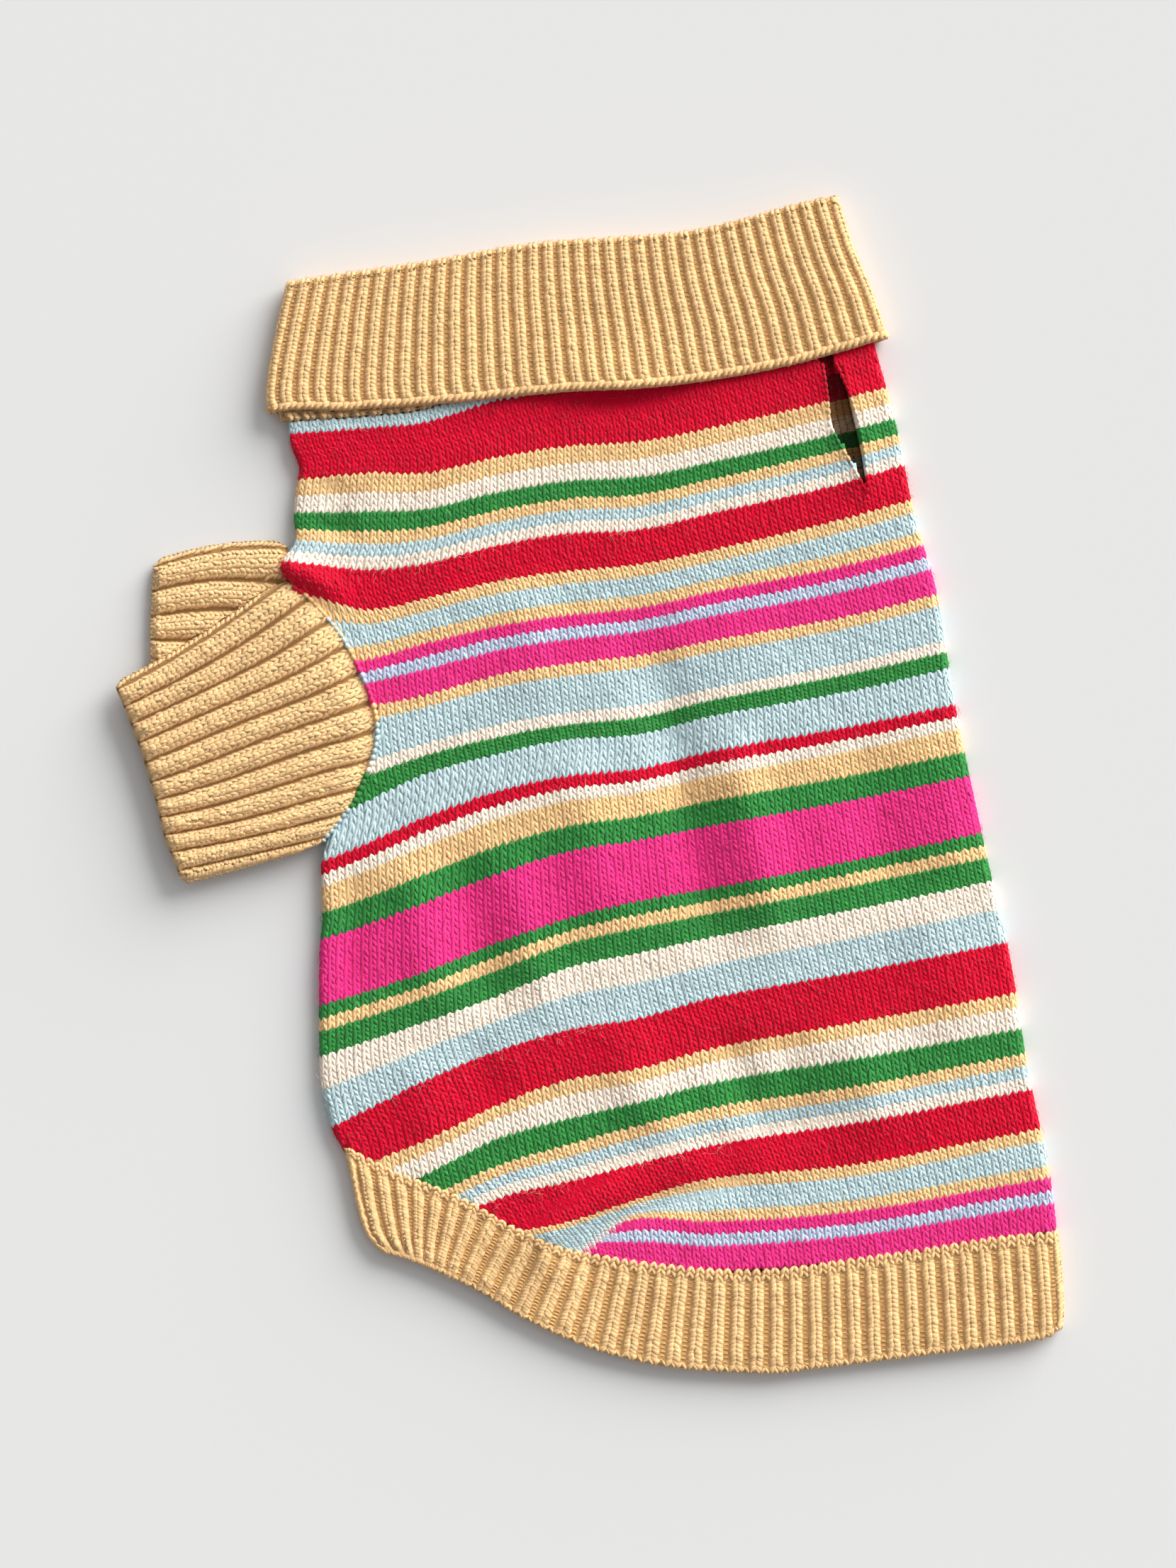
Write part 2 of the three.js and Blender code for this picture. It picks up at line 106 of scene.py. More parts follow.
# places x where the courses were measured, and the height y of some courses there
stations = [-97, -77, -57, -32, -7, 18, 43, 93, 143]
courseLines = {
    0: [127.4, 128.8, 131.3, 139.5, 143, 145, 148.5, 159.5, 170],
    10: [107.2, 109.1, 109, 114.4, 118.4, 120, 124.7, 136.1, 148.7],
    25: [77, 75, 77.1, 83.4, 87.7, 89, 94.7, 106.3, 122.8],
    31: [66, 61, 65, 71, 74.5, 77, 81.8, 93.8, 108.4],
    38: [40, 43.5, 49, 55, 59, 61.5, 67, 77, 91],
    46: [23, 27, 31, 38, 42, 45, 50, 59, 72],
    56: [-3, 3, 9.7, 16, 20.5, 23, 28.9, 38.5, 50],
    60: [-14.5, -6, 3.5, 10.3, 15.5, 17.3, 23.6, 32.6, 44.5],
    65: [-29, -21, -12, -3, 2.5, 5, 11, 20, 30.5],
    77: [-56, -49.5, -42, -32, -24, -20, -15, -6, 4.5],
    88: [-79, -73, -66.2, -56.1, -47.4, -41.3, -37, -27.2, -16.4],
    92: [-88.5, -82.1, -75.4, -65.9, -56.5, -50.9, -46, -36.2, -25.7],
    97: [-97, -90.4, -83.8, -74.8, -64.8, -59.6, -54.2, -44.4, -34.2],
    108: [-124.4, -114.4, -104.4, -94.2, -86.7, -82.6, -75.6, -66.5, -56.8],
    117: [-144.5, -133.6, -125.4, -113.2, -104.1, -100, -93.3, -84.1, -75],
    122: [-157.5, -147, -137.5, -125, -118, -112, -105.5, -97, -88],
    126: [-166, -155.5, -146, -134.5, -127, -120, -114, -106.5, -97],
    132: [-179, -168.5, -159, -146, -140, -133.5, -127.5, -119.5, -110],
    138: [-192.5, -182, -172, -159.5, -154, -146, -139, -134, -124.5],
    146: [-200, -189, -180, -170, -161, -153, -154, -150.5, -142],
    154: [-205, -194, -185, -175, -165, -169, -171, -167.5, -160],
}
lineCourses = np.array(sorted(courseLines), float)

# the sides of the garment: pairs of y and x
chestOutline = [
    [129, -107.2], [125, -106.2], [119, -104.9], [112, -101.6], [104, -102.6], [92.5, -103.6],
    [86, -103.2], [79, -106.2], [73, -106.2], [65, -101.5], [44, -97], [24, -95], [1, -93],
    [-16, -91.5], [-27.5, -94], [-46, -93.5], [-59, -94.5], [-94, -94.5], [-105, -94], [-121, -90],
    [-129, -86], [-146, -82.5], [-158, -79], [-164, -74.5], [-168, -71],
]
spineOutline = [
    [160, 101.2], [146, 103.4], [121, 109.5], [94, 115], [66, 123], [29, 129], [-24, 140], [-61, 148.5],
    [-101, 155], [-140.5, 163], [-174, 166.5], [-191, 167.5],
]
collarChestOutline = [[180, -105], [157, -110], [136, -113], [126, -110]]
collarSpineOutline = [[208, 87], [187.5, 93.5], [172, 100], [158, 104.6]]
# the edges across the garment: pairs of x and y
collarFold = [
    [-105, 176.3], [-85, 179.2], [-57, 183.2], [-19, 189.6], [15, 192], [36, 194], [54, 198], [72, 203],
    [84, 205.6], [88, 205.8],
]
collarEdge = [
    [-111, 129.6], [-106, 130.8], [-97, 131.2], [-87, 130.9], [-73, 131.8], [-62, 132.3], [-51, 133.2],
    [-37, 134.6], [-7, 137.3], [18, 138.4], [43, 141.4], [68, 146], [93, 152.6], [104, 156],
]
hemSeam = [
    [-90, -125], [-70, -135.5], [-45, -145.5], [-25, -156.5], [-6.5, -164], [16, -168], [43, -171],
    [68, -171], [93, -167.5], [118, -164], [143, -160], [166, -158],
]
hemEdge = [
    [-82, -152.5], [-79.5, -157.8], [-76.4, -161.6], [-73, -164], [-63, -167.1], [-49, -173.1],
    [-37, -179.1], [-23, -187.5], [-8.5, -194.5], [6, -200], [26, -204.5], [46, -206.5], [68, -207],
    [80, -205.5], [105, -202.5], [148, -197], [158, -195.4], [163, -193.8], [166, -190.6], [168, -185],
]
# how far each rib of the hem leans at its free end, as shares of the band's width
hemLean = [
    [0, 0], [0.03, -0.008], [0.06, -0.024], [0.09, -0.044], [0.15, -0.072], [0.2, -0.086],
    [0.3, -0.084], [0.4, -0.062], [0.55, -0.033], [0.8, -0.01], [1, 0],
]
slitTop, slitFoot = (87, 150), (98, 105)
slit = [
    [82, 154], [82.3, 148], [83.5, 140.3], [84.3, 134], [84.8, 126.3], [88.2, 119.4], [92.2, 113],
    [96, 105.6], [98.2, 101.6], [98.4, 105], [97.2, 116.8], [95.4, 126.3], [91.6, 138], [87, 148],
    [85.6, 154],
]
# the ends of each sleeve's two layers, from its upper edge to its lower one
nearSleeveRows = {
    "sag": 2.2,  # mm that the upper edge hangs between seam and cuff
    "seam": [[-104.8, 70.6], [-96.6, 65.2], [-82.9, 47.5], [-73, 20.5], [-79.8, -3.2], [-92.2, -19.8]],
    "under": [[-105.4, 70.2], [-103.6, 56], [-101.2, 34], [-99, 14], [-96.8, -6], [-95.6, -20]],
    "cuff": [[-165, 32], [-161, 22], [-156, 9], [-151.5, -6], [-148.6, -19], [-143.6, -31.5]],
}
farSleeveRows = {
    "sag": -2.4,
    "seam": [[-105.6, 81.6], [-95.6, 75], [-82.6, 53.5], [-76.6, 30], [-81.6, 2], [-92.4, -17.6]],
    "under": [[-106.2, 81.6], [-105, 66], [-103, 44], [-100.4, 20], [-98, 0], [-95.8, -18]],
    "cuff": [[-152.6, 75], [-153.4, 62], [-153.6, 48], [-152.6, 34], [-151, 20], [-149, 9]],
}
# soft ridges (+) and troughs (-) of the near layer: from, to, width, height
folds = [
    [(30, 12), (42, -50), 8, -2.7], [(52, 12), (65, -50), 9, 2.9], [(97, 10), (108, -38), 11, -1.8],
    [(-4, 4), (8, -48), 11, 2.1], [(-26, 68), (-17, 30), 12, 1.3], [(16, 62), (30, 14), 10, -1.3],
    [(56, 52), (72, 16), 13, 0.9], [(-64, -28), (-54, -76), 8, 1.8], [(-45, -26), (-34, -76), 8, -1.9],
    [(-27, -28), (-16, -76), 8, 1.6], [(-60, -98), (-56, -124), 8, 1.2],
    [(-43, -92), (-32, -113), 8, -1], [(48, -90), (62, -120), 7, -2.3], [(92, -88), (105, -122), 12, 2],
    [(11, -86), (28, -122), 10, 1.7], [(-16, -160), (8, -143), 4.5, 2.4],
    [(8, -143), (40, -130), 6, 2.6], [(-3, -167), (22, -150), 4, -1.2],
    [(22, -149), (56, -140), 6, -1.8], [(-88, 106), (-92, 96), 8, -1.1],
    [(-106, 88.5), (-84, 90.5), 4.5, -2], [(-40, 128), (-50, 66), 12, 0.7],
    [(118, -44), (132, -86), 12, 1.2], [(26, 44), (31, 12), 8, -1.2], [(69, -88), (71, -118), 8, -1.7],
    [(-88, -32), (-84, -72), 9, -2], [(6, -98), (22, -120), 8, 0.8], [(10, -140), (86, -118), 7, -1.9],
    [(128, 14), (136, -30), 9, 1.5],
]


def courseHeight(course, x):
    course, x = np.broadcast_arrays(np.asarray(course, float), np.asarray(x, float))
    levels = np.array([curve(zip(stations, courseLines[c]), x) for c in lineCourses])
    k = np.clip(np.searchsorted(lineCourses, course) - 1, 0, len(lineCourses) - 2)
    share = (course - lineCourses[k]) / (lineCourses[k + 1] - lineCourses[k])
    above = np.take_along_axis(levels, k[None], 0)[0]
    below = np.take_along_axis(levels, (k + 1)[None], 0)[0]
    return above + (below - above) * share


def alongAndBeside(start, end, x, y):  # share of the way from start to end, and mm beside that line
    ax, ay = end[0] - start[0], end[1] - start[1]
    length = math.hypot(ax, ay)
    t = ((x - start[0]) * ax + (y - start[1]) * ay) / length ** 2
    return t, ((x - start[0]) * ay - (y - start[1]) * ax) / length


def foldHeight(x, y):
    total = np.zeros_like(x)
    for start, end, width, height in folds:
        t, side = alongAndBeside(start, end, x, y)
        total += height * fade(-0.25, 0.2, t) * fade(1.25, 0.8, t) * np.exp(-(side / width) ** 2)
    return total


legZone = {"top": 86, "bottom": -24, "fade": 12}  # where the sleeves lie under the chest fold


def chestLift(x, y):  # how much the sleeves under the chest fold lift it
    above = fade(legZone["top"] + legZone["fade"], legZone["top"], y)
    below = fade(legZone["bottom"] - legZone["fade"], legZone["bottom"], y)
    return above * below * fade(14, 3, x - curve(chestOutline, y))


def slitGape(x, y, reach):  # 1 on the line of the slit, where its edges stand up
    t, side = alongAndBeside(slitTop, slitFoot, x, y)
    return fade(1.3, 0.9, t) * np.exp(-(side / reach) ** 2) * fade(0, 7, curve(collarEdge, x) - y)


def layersHeld(x, y):  # 1 where the folded collar or the sleeves hold the layers together
    neck = fade(15, 3, curve(collarEdge, x) - 3 - y) * (1 - slitGape(x, y, 14))
    return np.maximum(neck, chestLift(x, y))


def bodyUnder(x, y):
    return stackLow * layersHeld(x, y)


def bodyOver(x, y):
    inland = np.minimum(x - curve(chestOutline, y), curve(spineOutline, y) - x)
    loose = (stackHigh + (cloth["loft"] - stackHigh) * fade(2, 22, inland)
             + foldHeight(x, y) * fade(2, 14, inland))
    seamHold = fade(10, 1, y - curve(hemSeam, x)) * fade(70, 95, np.abs(x - 38))
    hold = np.maximum(layersHeld(x, y), seamHold)
    # the chest rolls up a little over the sleeve's top, and dips under the middle of the collar
    rolled = 4.0 * fade(-80, -96, x) * np.exp(-((y - 75.5 + (x + 104) * 0.42) / 5.5) ** 2)
    dipped = 2.4 * np.exp(-((x - 10) / 18) ** 2 - ((curve(collarEdge, x) - y - 3.5) / 4.5) ** 2)
    return loose + (stackHigh - loose) * hold + rolled - dipped + 1.6 * slitGape(x, y, 7)


def endsOf(rowLine, rows, chest, spine, chestInset, spineInset):  # both ends x of each row
    left = curve(chest, rowLine(rows, np.full(len(rows), -90.0))) + chestInset
    right = curve(spine, rowLine(rows, np.full(len(rows), 120.0))) - spineInset
    for _ in range(6):
        left = curve(chest, rowLine(rows, left)) + chestInset
        right = curve(spine, rowLine(rows, right)) - spineInset
    return left, right


bodyRows = np.arange(-4.0, 166.0, 0.5)
foldRadius = stackHigh / 2
chestX = np.full(len(bodyRows), -95.0)
chestInsets = foldRadius - (stackLow / 2) * chestLift(chestX, courseHeight(bodyRows, chestX))
bodyLeft, bodyRight = endsOf(courseHeight, bodyRows, chestOutline, spineOutline, chestInsets, foldRadius)


def across(u, row, rows, left, right):  # x at the share u between the two ends of a row
    start, end = np.interp(row, rows, left), np.interp(row, rows, right)
    return start + (end - start) * u


# Each piece is a flat tube: a near side and a far side over the share u across
def bodyPlan(u, course):
    x = across(u, course, bodyRows, bodyLeft, bodyRight)
    return x, courseHeight(course, x)


def bodyTop(u, course):
    x, y = bodyPlan(u, course)
    return np.stack([x, y, bodyOver(x, y)], -1)


def bodyBottom(u, course):
    x, y = bodyPlan(u, course)
    return np.stack([x, y, bodyUnder(x, y)], -1)


def hemLine(v, x):
    seam = curve(hemSeam, x) - cloth["neckGap"]
    return seam + (curve(hemEdge, x) - seam) * v


hemRows = np.linspace(-0.05, 1.05, 45)
hemLeft, hemRight = endsOf(hemLine, hemRows, chestOutline, spineOutline, foldRadius, foldRadius)


def hemPlan(u, v):
    # the ribs run straight, and only those beside the chest fold bend with it
    straight = np.interp(v, [0, 1], np.interp([0, 1], hemRows, hemLeft))
    left = straight + (np.interp(v, hemRows, hemLeft) - straight) * fade(0.10, 0, u)
    right = np.interp(v, hemRows, hemRight)
    x = left + (right - left) * (u + curve(hemLean, np.clip(u, 0, 1)) * v)
    return x, hemLine(v, x)


def hemTop(u, v):
    x, y = hemPlan(u, v)
    start = bodyOver(x, curve(hemSeam, x))
    return np.stack([x, y, start + (5.5 - start) * fade(0, 0.7, v)], -1)


def hemBottom(u, v):
    x, y = hemPlan(u, v)
    return np.stack([x, y, 0 * x], -1)


def reachAlong(line):  # how far along a line each of its points lies
    return np.cumsum([0, *np.linalg.norm(np.diff(np.array(line), axis=0), axis=1)])


def alongLine(line, u):  # x and y at the share u of the way along a line
    shares = reachAlong(line) / reachAlong(line)[-1]
    return [curve(zip(shares, np.array(line)[:, axis]), u) for axis in (0, 1)]


def sleevePlan(rows, start, u, v):
    first, last = alongLine(rows[start], u), alongLine(rows["cuff"], u)
    sag = rows["sag"] * 4 * v * (1 - v) * (1 - u)
    wander = 0.9 * np.sin(5.2 * v + 7 * u + rows["sag"]) * np.clip(4 * u * (1 - u), 0, 1) * fade(0, 0.3, v)
    return first[0] + (last[0] - first[0]) * v, first[1] + (last[1] - first[1]) * v - sag + wander


nearLow = middle + cloth["layerGap"] / 2
nearHigh = nearLow + 2 * cloth["wall"] + cloth["layerGap"]


def nearSleeveTop(u, v):
    x, y = sleevePlan(nearSleeveRows, "seam", u, v)
    dip = (1.4 + 1.5 * fade(0.2, 0.5, u) * fade(0.95, 0.7, u)) * fade(0.14, 0, v)
    return np.stack([x, y, nearHigh - dip], -1)


def nearSleeveBottom(u, v):
    x, y = sleevePlan(nearSleeveRows, "under", u, v)
    return np.stack([x, y, nearLow + 0 * x], -1)


def farSleeveTop(u, v):
    x, y = sleevePlan(farSleeveRows, "under", u, v)
    return np.stack([x, y, 2 * cloth["wall"] + cloth["layerGap"] + 0 * x], -1)


def farSleeveBottom(u, v):
    x, y = sleevePlan(farSleeveRows, "seam", u, v)
    return np.stack([x, y, 0 * x], -1)


# The collar is one cloth: up inside from the neck seam, over the fold and down outside. Its rows
# run from 0 at the seam over 1 at the start of the fold and 2 at its end to 3 at the free edge.
collarTurn = cloth["wall"] + cloth["layerGap"] / 2


def collarLine(row, x):
    foldStart = curve(collarFold, x) - collarTurn
    seam = courseHeight(0.0, x) + cloth["neckGap"]
    angle = math.pi * (np.clip(row, 1, 2) - 1.5)
    reach = collarTurn * np.cos(angle)
    edge = curve(collarEdge, x)
    return np.where(row < 1, seam + (foldStart - seam) * row,
                    np.where(row > 2, foldStart + (edge - foldStart) * (row - 2), foldStart + reach))


collarRows = np.linspace(0, 3.1, 249)
collarLeft, collarRight = endsOf(
    collarLine, collarRows, collarChestOutline, collarSpineOutline, middle, middle)


def collarLift(row):  # height over the middle of the stack
    angle = math.pi * (np.clip(row, 1, 2) - 1.5)
    return cloth["layerGap"] / 2 + collarTurn * (1 + np.sin(angle))


def collarPlan(u, row):
    x = across(u, row, collarRows, collarLeft, collarRight)
    return x, collarLine(row, x)


def collarTop(u, row):
    x, y = collarPlan(u, row)
    lifted = 2.0 * np.exp(-((x - 8) / 24) ** 2) * fade(2.5, 3, row)
    return np.stack([x, y, middle + collarLift(row) + lifted], -1)


def collarBottom(u, row):
    x, y = collarPlan(u, row)
    return np.stack([x, y, middle - collarLift(row) + 0 * x], -1)


def tubePoint(tube, u, angle, wave, row):
    # angle 0 is the near side, pi the far side, and between them runs the fold at u = 0 or u = 1.
    # Wave counts the tube's columns, for the relief that stands out from it
    near, far = tube["top"](u, row), tube["bottom"](u, row)
    near = near - np.array([0, 0, 1.0]) * tube.get("drop", cloth["stitchDrop"])
    step = np.where(u < 0.5, 0.02, -0.02)
    out = (near - tube["top"](u + step, row))[..., :2]
    out = out / np.linalg.norm(out, axis=-1, keepdims=True)
    radius = np.abs(near[..., 2] - far[..., 2]) / 2
    if "relief" in tube:
        radius = radius + tube["relief"](wave, row) * fade(2.9, 2.0, angle) * (np.sin(angle) > 0.01)
    mixed = near * ((1 + np.cos(angle)) / 2)[..., None] + far * ((1 - np.cos(angle)) / 2)[..., None]
    mixed[..., :2] += out * (radius * np.sin(angle))[..., None]
    if "relief" in tube:
        mixed[..., 2] += tube["relief"](wave, row) * np.cos(angle) * (np.cos(angle) > 0)
    return mixed


def sampled(tube, reach, rowRange, rowStep, columnStep=0.5):
    # the outside of a tube over columns, those past its ends bent round the folds
    columns = np.arange(-reach, tube["columns"] + reach + columnStep * 0.9, columnStep)
    rows = np.arange(rowRange[0], rowRange[1] + rowStep / 2, rowStep)
    column, row = np.meshgrid(columns, rows, indexing="ij")
    u = np.clip(column / tube["columns"], 0, 1)
    past = np.maximum(np.maximum(-column, column - tube["columns"]), 0) * tube["pitch"]
    near, far = tube["top"](u, row), tube["bottom"](u, row)
    radius = np.maximum(np.abs(near[..., 2] - far[..., 2]) / 2, 0.2)
    angle = np.minimum(past / radius, math.pi)
    grid = tubePoint(tube, u, angle, column, row)

    def at(column, row):
        i = np.clip((column - columns[0]) / columnStep, 0, len(columns) - 1.001)
        j = np.clip((row - rows[0]) / rowStep, 0, len(rows) - 1.001)
        i0, j0 = i.astype(int), j.astype(int)
        a, b = (i - i0)[..., None], (j - j0)[..., None]
        return ((grid[i0, j0] * (1 - a) + grid[i0 + 1, j0] * a) * (1 - b)
                + (grid[i0, j0 + 1] * (1 - a) + grid[i0 + 1, j0 + 1] * a) * b)

    return at


def newObject(name, data, material=None):  # a mesh holds its place, so it stays at the origin
    piece = bpy.data.objects.new(name, data)
    bpy.context.scene.collection.objects.link(piece)
    if material:
        data.materials.append(material)
    return piece


def insideOf(outline, x, y):  # true for each place inside a closed outline
    inside = np.zeros(np.shape(x), bool)
    for (x0, y0), (x1, y1) in zip(outline, outline[1:] + outline[:1]):
        crosses = (y0 > y) != (y1 > y)
        inside ^= crosses & (x < (x1 - x0) * (y - y0) / ((y1 - y0) or 1e-9) + x0)
    return inside


def tubeShell(name, tube, columns, rows, material, colourOf, holes=(), rowLimit=None):
    # columns hold u, angle, column counted all round and column of the near side
    u, angle, count, wave = (np.array(part, float) for part in zip(*columns))
    shell = bmesh.new()
    bmesh.ops.create_grid(shell, x_segments=len(columns), y_segments=len(rows) - 1, size=0.5)
    shell.verts.ensure_lookup_table()
    places = np.array([v.co[:2] for v in shell.verts]) + 0.5
    i = np.rint(places[:, 0] * len(columns)).astype(int)
    j = np.rint(places[:, 1] * (len(rows) - 1)).astype(int)
    wrapped = i % len(columns)
    row = np.array(rows, float)[j]
    if rowLimit is not None:
        row = np.minimum(row, rowLimit(u[wrapped]))
    points = tubePoint(tube, u[wrapped], angle[wrapped], wave[wrapped], row)
    points[:, 2] = np.maximum(points[:, 2], 0)
    knitU = np.append(count, 2 * count[-1] - count[-2])[i]
    knit = shell.loops.layers.uv.new("knit")
    yarn = shell.loops.layers.float_color.new("yarn")
    for vert, point in zip(shell.verts, (points + planToPart) / 1000):
        vert.co = point
    shell.faces.ensure_lookup_table()
    corners = np.array([[loop.vert.index for loop in face.loops] for face in shell.faces])
    middleRow = row[corners].mean(1)
    waves = np.append(wave, 0.0)[i]
    middleColumn = waves[corners].mean(1)
    colours = colourOf(middleColumn, middleRow)
    for face, corner, colour in zip(shell.faces, corners, colours):
        face.smooth = True
        for loop, index in zip(face.loops, corner):
            loop[knit].uv = (knitU[index], row[index])
            loop[yarn] = (*colour, 1)
    middles = points[corners].mean(1)
    gone = np.zeros(len(corners), bool)
    for outline, low, high in holes:
        within = insideOf(outline, middles[:, 0], middles[:, 1])
        gone |= within & (middles[:, 2] > low) & (middles[:, 2] < high)
    removed = [face for face, out in zip(shell.faces, gone) if out]
    bmesh.ops.delete(shell, geom=removed, context="FACES")
    bmesh.ops.remove_doubles(shell, verts=shell.verts, dist=0.00003)
    bmesh.ops.dissolve_degenerate(shell, edges=shell.edges, dist=0.00002)
    bmesh.ops.recalc_face_normals(shell, faces=shell.faces)
    mesh = bpy.data.meshes.new(name)
    shell.to_mesh(mesh)
    shell.free()
    piece = newObject(name, mesh, material)
    wallOf = piece.modifiers.new("wall", "SOLIDIFY")
    wallOf.thickness = cloth["wall"] / 1000
    wallOf.offset = -1
    return piece


section = [(1.0, -0.9), (0.0, 1.0), (-1.0, -0.9)]  # across and over a strand: sunk foot, top, sunk foot


def strandArrays(centre, normal, halfWidth, halfHeight, colour):
    # strands of n points each, the first and last drawn to a tip: (strands, n, 3) arrays
    strands, steps = centre.shape[:2]
    along = np.gradient(centre, axis=1)
    side = np.cross(normal, along)
    side /= np.maximum(np.linalg.norm(side, axis=-1, keepdims=True), 1e-9)
    rings = [centre[:, 1:-1] + side[:, 1:-1] * halfWidth[:, 1:-1, None] * a
             + normal[:, 1:-1] * halfHeight[:, 1:-1, None] * b for a, b in section]
    body = np.stack(rings, 2).reshape(strands, -1, 3)
    points = np.concatenate([centre[:, :1], body, centre[:, -1:]], 1)
    count, last = points.shape[1], points.shape[1] - 1
    sides = len(section)
    faces = []
    for j in range(sides):
        k = (j + 1) % sides
        faces.append([0, 1 + k, 1 + j])
        for ring in range(steps - 3):
            a, b = 1 + ring * sides, 1 + (ring + 1) * sides
            faces += [[a + j, a + k, b + k], [a + j, b + k, b + j]]
        a = 1 + (steps - 3) * sides
        faces.append([a + j, a + k, last])
    faces = np.array(faces)[None] + (np.arange(strands) * count)[:, None, None]
    return points.reshape(-1, 3), faces.reshape(-1, 3), np.repeat(colour, count, 0)


def joinedMesh(name, groups, material):
    points = np.concatenate([g[0] for g in groups])
    shifts = np.cumsum([0] + [len(g[0]) for g in groups[:-1]])
    faces = np.concatenate([g[1] + shift for g, shift in zip(groups, shifts)])
    colours = np.concatenate([g[2] for g in groups])
    points[:, 2] = np.maximum(points[:, 2], 0.02)  # nothing reaches below the surface it lies on
    mesh = bpy.data.meshes.new(name)
    mesh.vertices.add(len(points))
    mesh.vertices.foreach_set("co", ((points + planToPart) / 1000).ravel())
    mesh.loops.add(faces.size)
    mesh.loops.foreach_set("vertex_index", faces.ravel())
    mesh.polygons.add(len(faces))
    mesh.polygons.foreach_set("loop_start", np.arange(0, faces.size, 3))
    yarn = mesh.color_attributes.new("yarn", "FLOAT_COLOR", "POINT")
    yarn.data.foreach_set("color", np.column_stack([colours, np.ones(len(colours))]).ravel())
    mesh.update(calc_edges=True)
    mesh.shade_smooth()
    return newObject(name, mesh, material)


def surfaceFrame(surface, column, row, rowStep=0.05):  # points of a surface and its normals there
    point = surface(column, row)
    acrossStep = surface(column + 0.1, row) - surface(column - 0.1, row)
    downStep = surface(column, row + rowStep) - surface(column, row - rowStep)
    normal = np.cross(downStep, acrossStep)
    normal /= np.maximum(np.linalg.norm(normal, axis=-1, keepdims=True), 1e-9)
    return point, normal


# One leg of a knit stitch: share across, share down, height, half width. Its mirror is the other leg
knitLeg = np.array([
    [0.50, -0.45, -0.22, 0.0], [0.41, 0.02, 0.10, 0.72], [0.27, 0.50, 0.18, 0.88],
    [0.12, 0.98, 0.06, 0.74], [0.01, 1.45, -0.28, 0.0],
])
# the loop of a purl stitch, in the same columns
purlArc = np.array([
    [-0.10, 0.60, -0.30, 0.0], [0.18, 0.38, 0.05, 0.50], [0.50, 0.26, 0.22, 0.62],
    [0.82, 0.38, 0.05, 0.50], [1.10, 0.60, -0.30, 0.0],
])


def stitchStrands(surface, path, column, row, colour, rng, lift=0.0, width=1.0, stretch=1.0,
                  rowSize=1.0, mirror=False, jitter=0.05, plump=0.16):
    n = len(column)
    shares = (1 - path[:, 0] if mirror else path[:, 0]) * stretch
    columns = column[:, None] + shares[None] + rng.normal(0, jitter, (n, 1))
    rows = row[:, None] + (path[:, 1][None] + rng.normal(0, jitter * 1.2, (n, 1))) * rowSize
    point, normal = surfaceFrame(surface, columns, rows, 0.05 * rowSize)
    height = path[:, 2][None] * (0.4 + plump) + lift + rng.normal(0, 0.04, (n, 1))
    centre = point + normal * height[..., None]
    half = path[:, 3][None] * width * rng.uniform(0.9, 1.12, (n, 1))
    return strandArrays(centre, normal, half, half * plump, colour)


def variedColour(colour, rng, amount=0.07):
    shade = 1 + rng.normal(0, amount, (len(colour), 1))
    return np.clip(colour * shade, 0, 1)


def fuzzStrands(surface, column, row, colour, rng, length=(1.2, 3.2), lift=0.1, rowSize=1.0,
                halfWidth=0.045):
    n = len(column)
    point, normal = surfaceFrame(surface, column, row, 0.05 * rowSize)
    tangent = np.cross(normal, rng.normal(0, 1, (n, 3)))
    tangent /= np.linalg.norm(tangent, axis=-1, keepdims=True)
    turn = np.cross(normal, tangent)
    reach = rng.uniform(*length, (n, 1))
    rise = rng.uniform(0.15, 0.75, (n, 1))
    bend = rng.normal(0, 0.35, (n, 1))
    steps = np.array([0.0, 0.33, 0.7, 1.0])
    centre = np.stack([
        point + normal * (lift + reach * rise * s * (1.25 - 0.75 * s)) + tangent * reach * s
        + turn * reach * bend * s * s for s in steps], 1)
    half = np.tile(np.array([halfWidth, halfWidth, halfWidth * 0.7, 0.0]), (n, 1))
    pale = colour + (1 - colour) * rng.uniform(0.02, 0.10, (n, 1))
    return strandArrays(centre, np.repeat(normal[:, None], 4, 1), half, half * 1.4, np.clip(pale, 0, 1))


